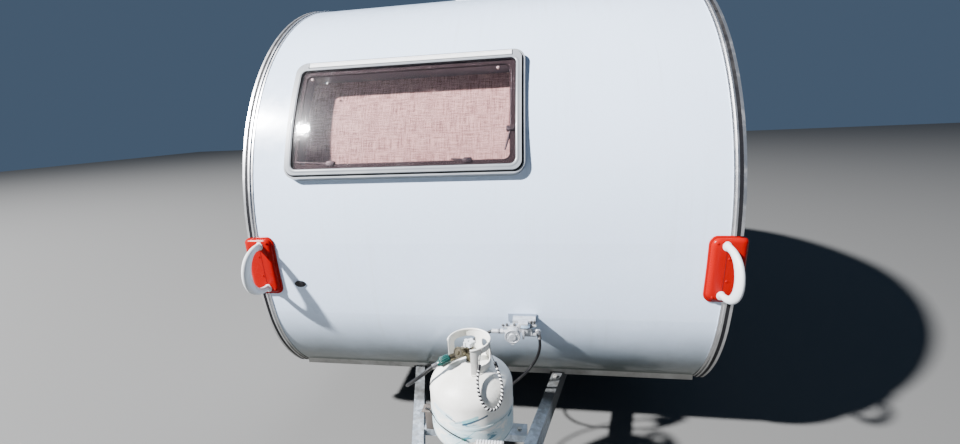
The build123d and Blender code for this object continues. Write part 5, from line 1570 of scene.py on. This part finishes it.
def wheel_details():
    """Bolt heads and valve stem of each wheel."""
    for side, name in ((1, "left"), (-1, "right")):
        metal = Shape()
        for i in range(5):
            turn = radians(72 * i)
            at = (side * (WHEEL_X + 0.0185), WHEEL_Y + BOLTS_R * cos(turn), WHEEL_Z + BOLTS_R * sin(turn))
            metal.hexagon(0.0165, 0.0, 0.0080, at, (side, 0, 0))
        metal.piece(f"wheel_bolts_{name}", "zinc_steel", f"wheel_{name}")
        dark = Shape()
        turn = radians(15)
        at = Vector((side * (WHEEL_X + 0.014), WHEEL_Y + STEM_R * cos(turn), WHEEL_Z + STEM_R * sin(turn)))
        dark.turned(STEM, at, (side, 0, 0), 18)
        dark.piece(f"valve_stem_{name}", "black_plastic", f"wheel_{name}")


LAMP_RING = [(0.0418, 0.0070), (0.0418, 0.0100), (0.0432, 0.0116), (0.0468, 0.0112), (0.0482, 0.0075),
             (0.0482, 0.0060)]


def wall_details():
    """Screws of vents, fenders, hinges and rear corner pieces; lamp rings; plate bolts."""
    screws = Shape()
    for y, z in ((1.430, 1.060), (1.430, 0.640)):
        for dy in (-0.161, 0.161):
            for dz in (-0.076, 0.076):
                pan_head(screws, (WALL_OUT + 0.0113, y + dy, z + dz), (1, 0, 0), 0.0040)
    for side in (-1, 1):
        for angle in (22, 45, 68, 90, 112, 135, 158):
            turn = radians(angle)
            out = Vector((0, cos(turn), sin(turn)))
            at = Vector((side * 0.9966, WHEEL_Y, WHEEL_Z)) + out * 0.4250
            pan_head(screws, at, Vector((side * 0.915, 0, 0)) + out * 0.403, 0.0042)
        for x, z in ((0.903, 0.760), (0.903, 1.048), (1.012, 0.762), (1.012, 1.046)):
            angle = asin((z - TAIL_ARC[1]) / TAIL_ARC[2])
            out = Vector((0, cos(angle), sin(angle)))
            at = Vector((side * x, TAIL_ARC[0], TAIL_ARC[1])) + out * (TAIL_ARC[2] + 0.008)
            pan_head(screws, at, out, 0.0040)
    for x in (-0.089, 0.089):
        screws.hexagon(0.0100, 0.0, 0.0045, (x, 2.322, 0.985), (0, 1, 0))
    screws.piece("body_screws", "zinc_steel")
    rings = Shape()
    for side in (-1, 1):
        for z in (0.800, 1.008):
            angle = asin((z - TAIL_ARC[1]) / TAIL_ARC[2])
            out = Vector((0, cos(angle), sin(angle)))
            at = Vector((side * 0.946, TAIL_ARC[0] + TAIL_ARC[2] * cos(angle), z))
            rings.turned(LAMP_RING, at, out, 40, closed=True)
    rings.piece("lamp_rings", "trim_aluminium")
    hinges = Shape()
    moving = Shape()
    for z in (0.750, 1.720):
        for y in (-0.4820, -0.4600):
            pan_head(moving, (-0.9940, y, z), (-1, 0, 0), 0.0036)
        for way in (-1, 1):
            for y in (-0.5210, -0.5390):
                pan_head(hinges, (-0.9940, y, z + way * 0.030), (-1, 0, 0), 0.0036)
    hinges.piece("wall_hinge_screws", "zinc_steel")
    moving.piece("door_hinge_screws", "zinc_steel", "door")


# Door opening: width, height, corner radius, middle y, middle z
DOOR_W = 0.655
DOOR_H = 1.440
DOOR_CORNER = 0.110
DOOR_Y = -0.1775
DOOR_Z = 1.230


def door_loop(inset, x):
    """Closed line round the door opening, taken in from its edge, at an x."""
    loop = rounded_rectangle(DOOR_W - 2 * inset, DOOR_H - 2 * inset, DOOR_CORNER - inset, 12)
    return [(x, DOOR_Y - u, DOOR_Z + v) for u, v in filled_loop(loop)]


def door_details():
    """Seal of the door opening, the door's edge trim and its lock."""
    seal = Shape()
    seal.tube(door_loop(0.0012, -0.9895), 0.0022, 8, closed=True)
    seal.piece("door_opening_seal", "trim_rubber")
    edge = Shape()
    edge.tube(door_loop(0.0085, -0.9900), 0.0018, 8, closed=True)
    edge.piece("door_edge_trim", "trim_aluminium", "door")
    lock = Shape()
    lock.turned([(0.0100, 0.0), (0.0105, 0.0010), (0.0105, 0.0028), (0.0090, 0.0038), (0, 0.0038)],
                (-0.9960, 0.0950, 1.0465), (-1, 0, 0), 28)
    for y, z in ((0.0950, 1.1950), (0.0760, 1.0470), (0.1140, 1.0470)):
        pan_head(lock, (-0.9960, y, z), (-1, 0, 0), 0.0032)
    lock.piece("door_lock", "zinc_steel", "door")
    slot = Shape()
    slot.block((0.0010, 0.0016, 0.0090), Matrix.Translation((-0.9999, 0.0950, 1.0465)), 0.0003)
    slot.piece("door_lock_slot", "black_plastic", "door")


# Across and along the roof
VENT_SCREWS = [(-0.195, -0.15), (-0.195, 0.07), (0.195, -0.15), (0.195, 0.07),
               (-0.11, -0.235), (0.11, -0.235), (-0.11, 0.155), (0.11, 0.155)]


def roof_details():
    """Screws round the roof vent's base."""
    screws = Shape()
    crown = FRONT_ARC[1] + FRONT_ARC[2]
    for x, y in VENT_SCREWS:
        pan_head(screws, (x, y, crown + 0.0200), (0, 0, 1), 0.0044)
    screws.piece("roof_vent_screws", "zinc_steel")


# Hose and cord routes; the same points as the solids' routes
PIGTAIL_D = 0.013
PIGTAIL = [(-0.0987, -1.5438, 0.7855), (-0.1225, -1.556, 0.778), (-0.150, -1.559, 0.752),
           (-0.182, -1.550, 0.722), (-0.215, -1.526, 0.686), (-0.243, -1.487, 0.648),
           (-0.252, -1.444, 0.623), (-0.239, -1.404, 0.614), (-0.211, -1.369, 0.618),
           (-0.175, -1.339, 0.632), (-0.132, -1.315, 0.653), (-0.079, -1.297, 0.686),
           (-0.028, -1.287, 0.721), (0.020, -1.283, 0.754), (0.066, -1.282, 0.775)]
OUTLET_D = 0.012
OUTLET = [(0.256, -1.264, 0.757), (0.262, -1.266, 0.727), (0.260, -1.262, 0.682), (0.246, -1.252, 0.633),
          (0.223, -1.236, 0.583), (0.193, -1.212, 0.530), (0.157, -1.180, 0.472), (0.119, -1.140, 0.412),
          (0.085, -1.090, 0.372), (0.062, -1.030, 0.352), (0.054, -0.968, 0.350), (0.054, -0.905, 0.356)]
STRIPED_D = 0.0105
STRIPED = [(0.055, -1.560, 0.798), (0.050, -1.585, 0.772), (0.054, -1.609, 0.745), (0.065, -1.630, 0.716),
           (0.084, -1.639, 0.691), (0.106, -1.630, 0.678), (0.123, -1.610, 0.681), (0.133, -1.590, 0.700),
           (0.132, -1.563, 0.730), (0.118, -1.532, 0.755), (0.103, -1.505, 0.775)]


def route_curve(name, points, diameter):
    """A smooth round line whose control points are the route's points."""
    data = bpy.data.curves.new(name, "CURVE")
    data.dimensions = "3D"
    spline = data.splines.new("NURBS")
    spline.points.add(len(points) - 1)
    for place, point in zip(spline.points, points):
        place.co = (*point, 1)
    spline.order_u = 3
    spline.use_endpoint_u = True
    spline.resolution_u = 10
    data.bevel_depth = diameter / 2
    data.bevel_resolution = 5
    data.use_fill_caps = True
    made = bpy.data.objects.new(name, data)
    bpy.context.scene.collection.objects.link(made)
    return made


def spline_points(route, step):
    """Points read off the route's smooth spline, at even steps."""
    line = route_curve("measuring_line", route, 0.0)
    line.data.resolution_u = 24
    mesh = bpy.data.meshes.new_from_object(line)
    points = [vertex.co.copy() for vertex in mesh.vertices]
    bpy.data.meshes.remove(mesh)
    bpy.data.objects.remove(line)
    even = [points[0]]
    behind = points[0]
    walked = 0.0
    for point in points[1:]:
        length = (point - behind).length
        while walked + length >= step:
            behind = behind.lerp(point, (step - walked) / length)
            even.append(behind.copy())
            length = (point - behind).length
            walked = 0.0
        walked += length
        behind = point
    even.append(points[-1])
    return even


def cords():
    """The two gas hoses."""
    rows = [
        ("pigtail_hose_shown", "pigtail_hose", PIGTAIL, PIGTAIL_D, "stiff", "loose", 0.698),
        ("outlet_hose_shown", "outlet_hose", OUTLET, OUTLET_D, "medium", "hanging", 0.671),
    ]
    for name, node, route, diameter, stiffness, lay, length in rows:
        piece = route_curve(name, route, diameter)
        piece.data.materials.append(FINISHES["hose_rubber"])
        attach(piece, "root")
        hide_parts(node)
        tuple(route[0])


# Striped cord: length of a stripe, share that is white, step along the cord, points round it
STRIPE_LENGTH = 0.0062
WHITE_SHARE = 0.40
STRIPED_STEP = 0.0012
STRIPED_SIDES = 20


def striped_cord():
    """Braided cord: black and white strands wind round it as slanted stripes."""
    path = spline_points(STRIPED, STRIPED_STEP)
    shape = Shape()
    rows = []
    normal = None
    for i, point in enumerate(path):
        along = (path[min(i + 1, len(path) - 1)] - path[max(i - 1, 0)]).normalized()
        if normal is None:
            normal = along.orthogonal().normalized()
        normal = (normal - along * normal.dot(along)).normalized()
        other = along.cross(normal)
        row = []
        for k in range(STRIPED_SIDES):
            turn = tau * k / STRIPED_SIDES
            swell = 1 - 0.07 * abs(sin(pi * (i * STRIPED_STEP / STRIPE_LENGTH + 2 * k / STRIPED_SIDES)))
            row.append(point + (normal * cos(turn) + other * sin(turn)) * (STRIPED_D / 2 * swell))
        rows.append(row)
    shape.loft(rows, capped=True)
    shape.mesh.faces.ensure_lookup_table()
    for i in range(len(path) - 1):
        for k in range(STRIPED_SIDES):
            turn = i * STRIPED_STEP / STRIPE_LENGTH + 2 * (k + 0.5) / STRIPED_SIDES
            stripe = 1 if turn % 2 > WHITE_SHARE * 2 else 0
            shape.mesh.faces[i * STRIPED_SIDES + k].material_index = stripe
    finish = [FINISHES["striped_cord"], FINISHES["trim_rubber"]]
    made = shape.piece("striped_cord_shown", "striped_cord", "root", ["striped_cord"], 60, finish)
    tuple(STRIPED[0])


def stage():
    """Plain floor, sky and key light."""
    bpy.ops.mesh.primitive_plane_add(size=FLOOR_SIZE)
    floor = bpy.context.object
    floor.name = "studio_floor"
    made, tree, shader = start_finish("studio_floor", roughness=0.85)
    fill(tree, shader, {"Base Color": (*FLOOR_COLOUR, 1)})
    floor.data.materials.append(made)
    world = bpy.data.worlds.new("studio")
    bpy.context.scene.world = world
    world.use_nodes = True
    tree = world.node_tree
    fill(tree, tree.nodes["Background"], {"Color": (*SKY_COLOUR, 1), "Strength": SKY_STRENGTH})
    light = bpy.data.lights.new("key", "AREA")
    light.energy = KEY_WATTS
    light.shape = "DISK"
    light.size = KEY_SIZE
    light.color = KEY_COLOUR
    key = bpy.data.objects.new("key", light)
    bpy.context.scene.collection.objects.link(key)
    key.location = KEY_AIM + KEY_DISTANCE * KEY_FROM
    key.rotation_euler = KEY_FROM.to_track_quat("Z", "Y").to_euler()


add_camera()
cords()
striped_cord()
paint_nodes()
window_seals()
pane_rims()
frame_beads()
blinds()
front_window_fittings()
corner_pieces()
corner_fittings()
skin_fittings()
valve_details()
regulator_details()
cylinder_details()
cord_ends()
underbody_bolts()
jack_details()
tyres()
wheel_details()
wall_details()
door_details()
roof_details()
stage()
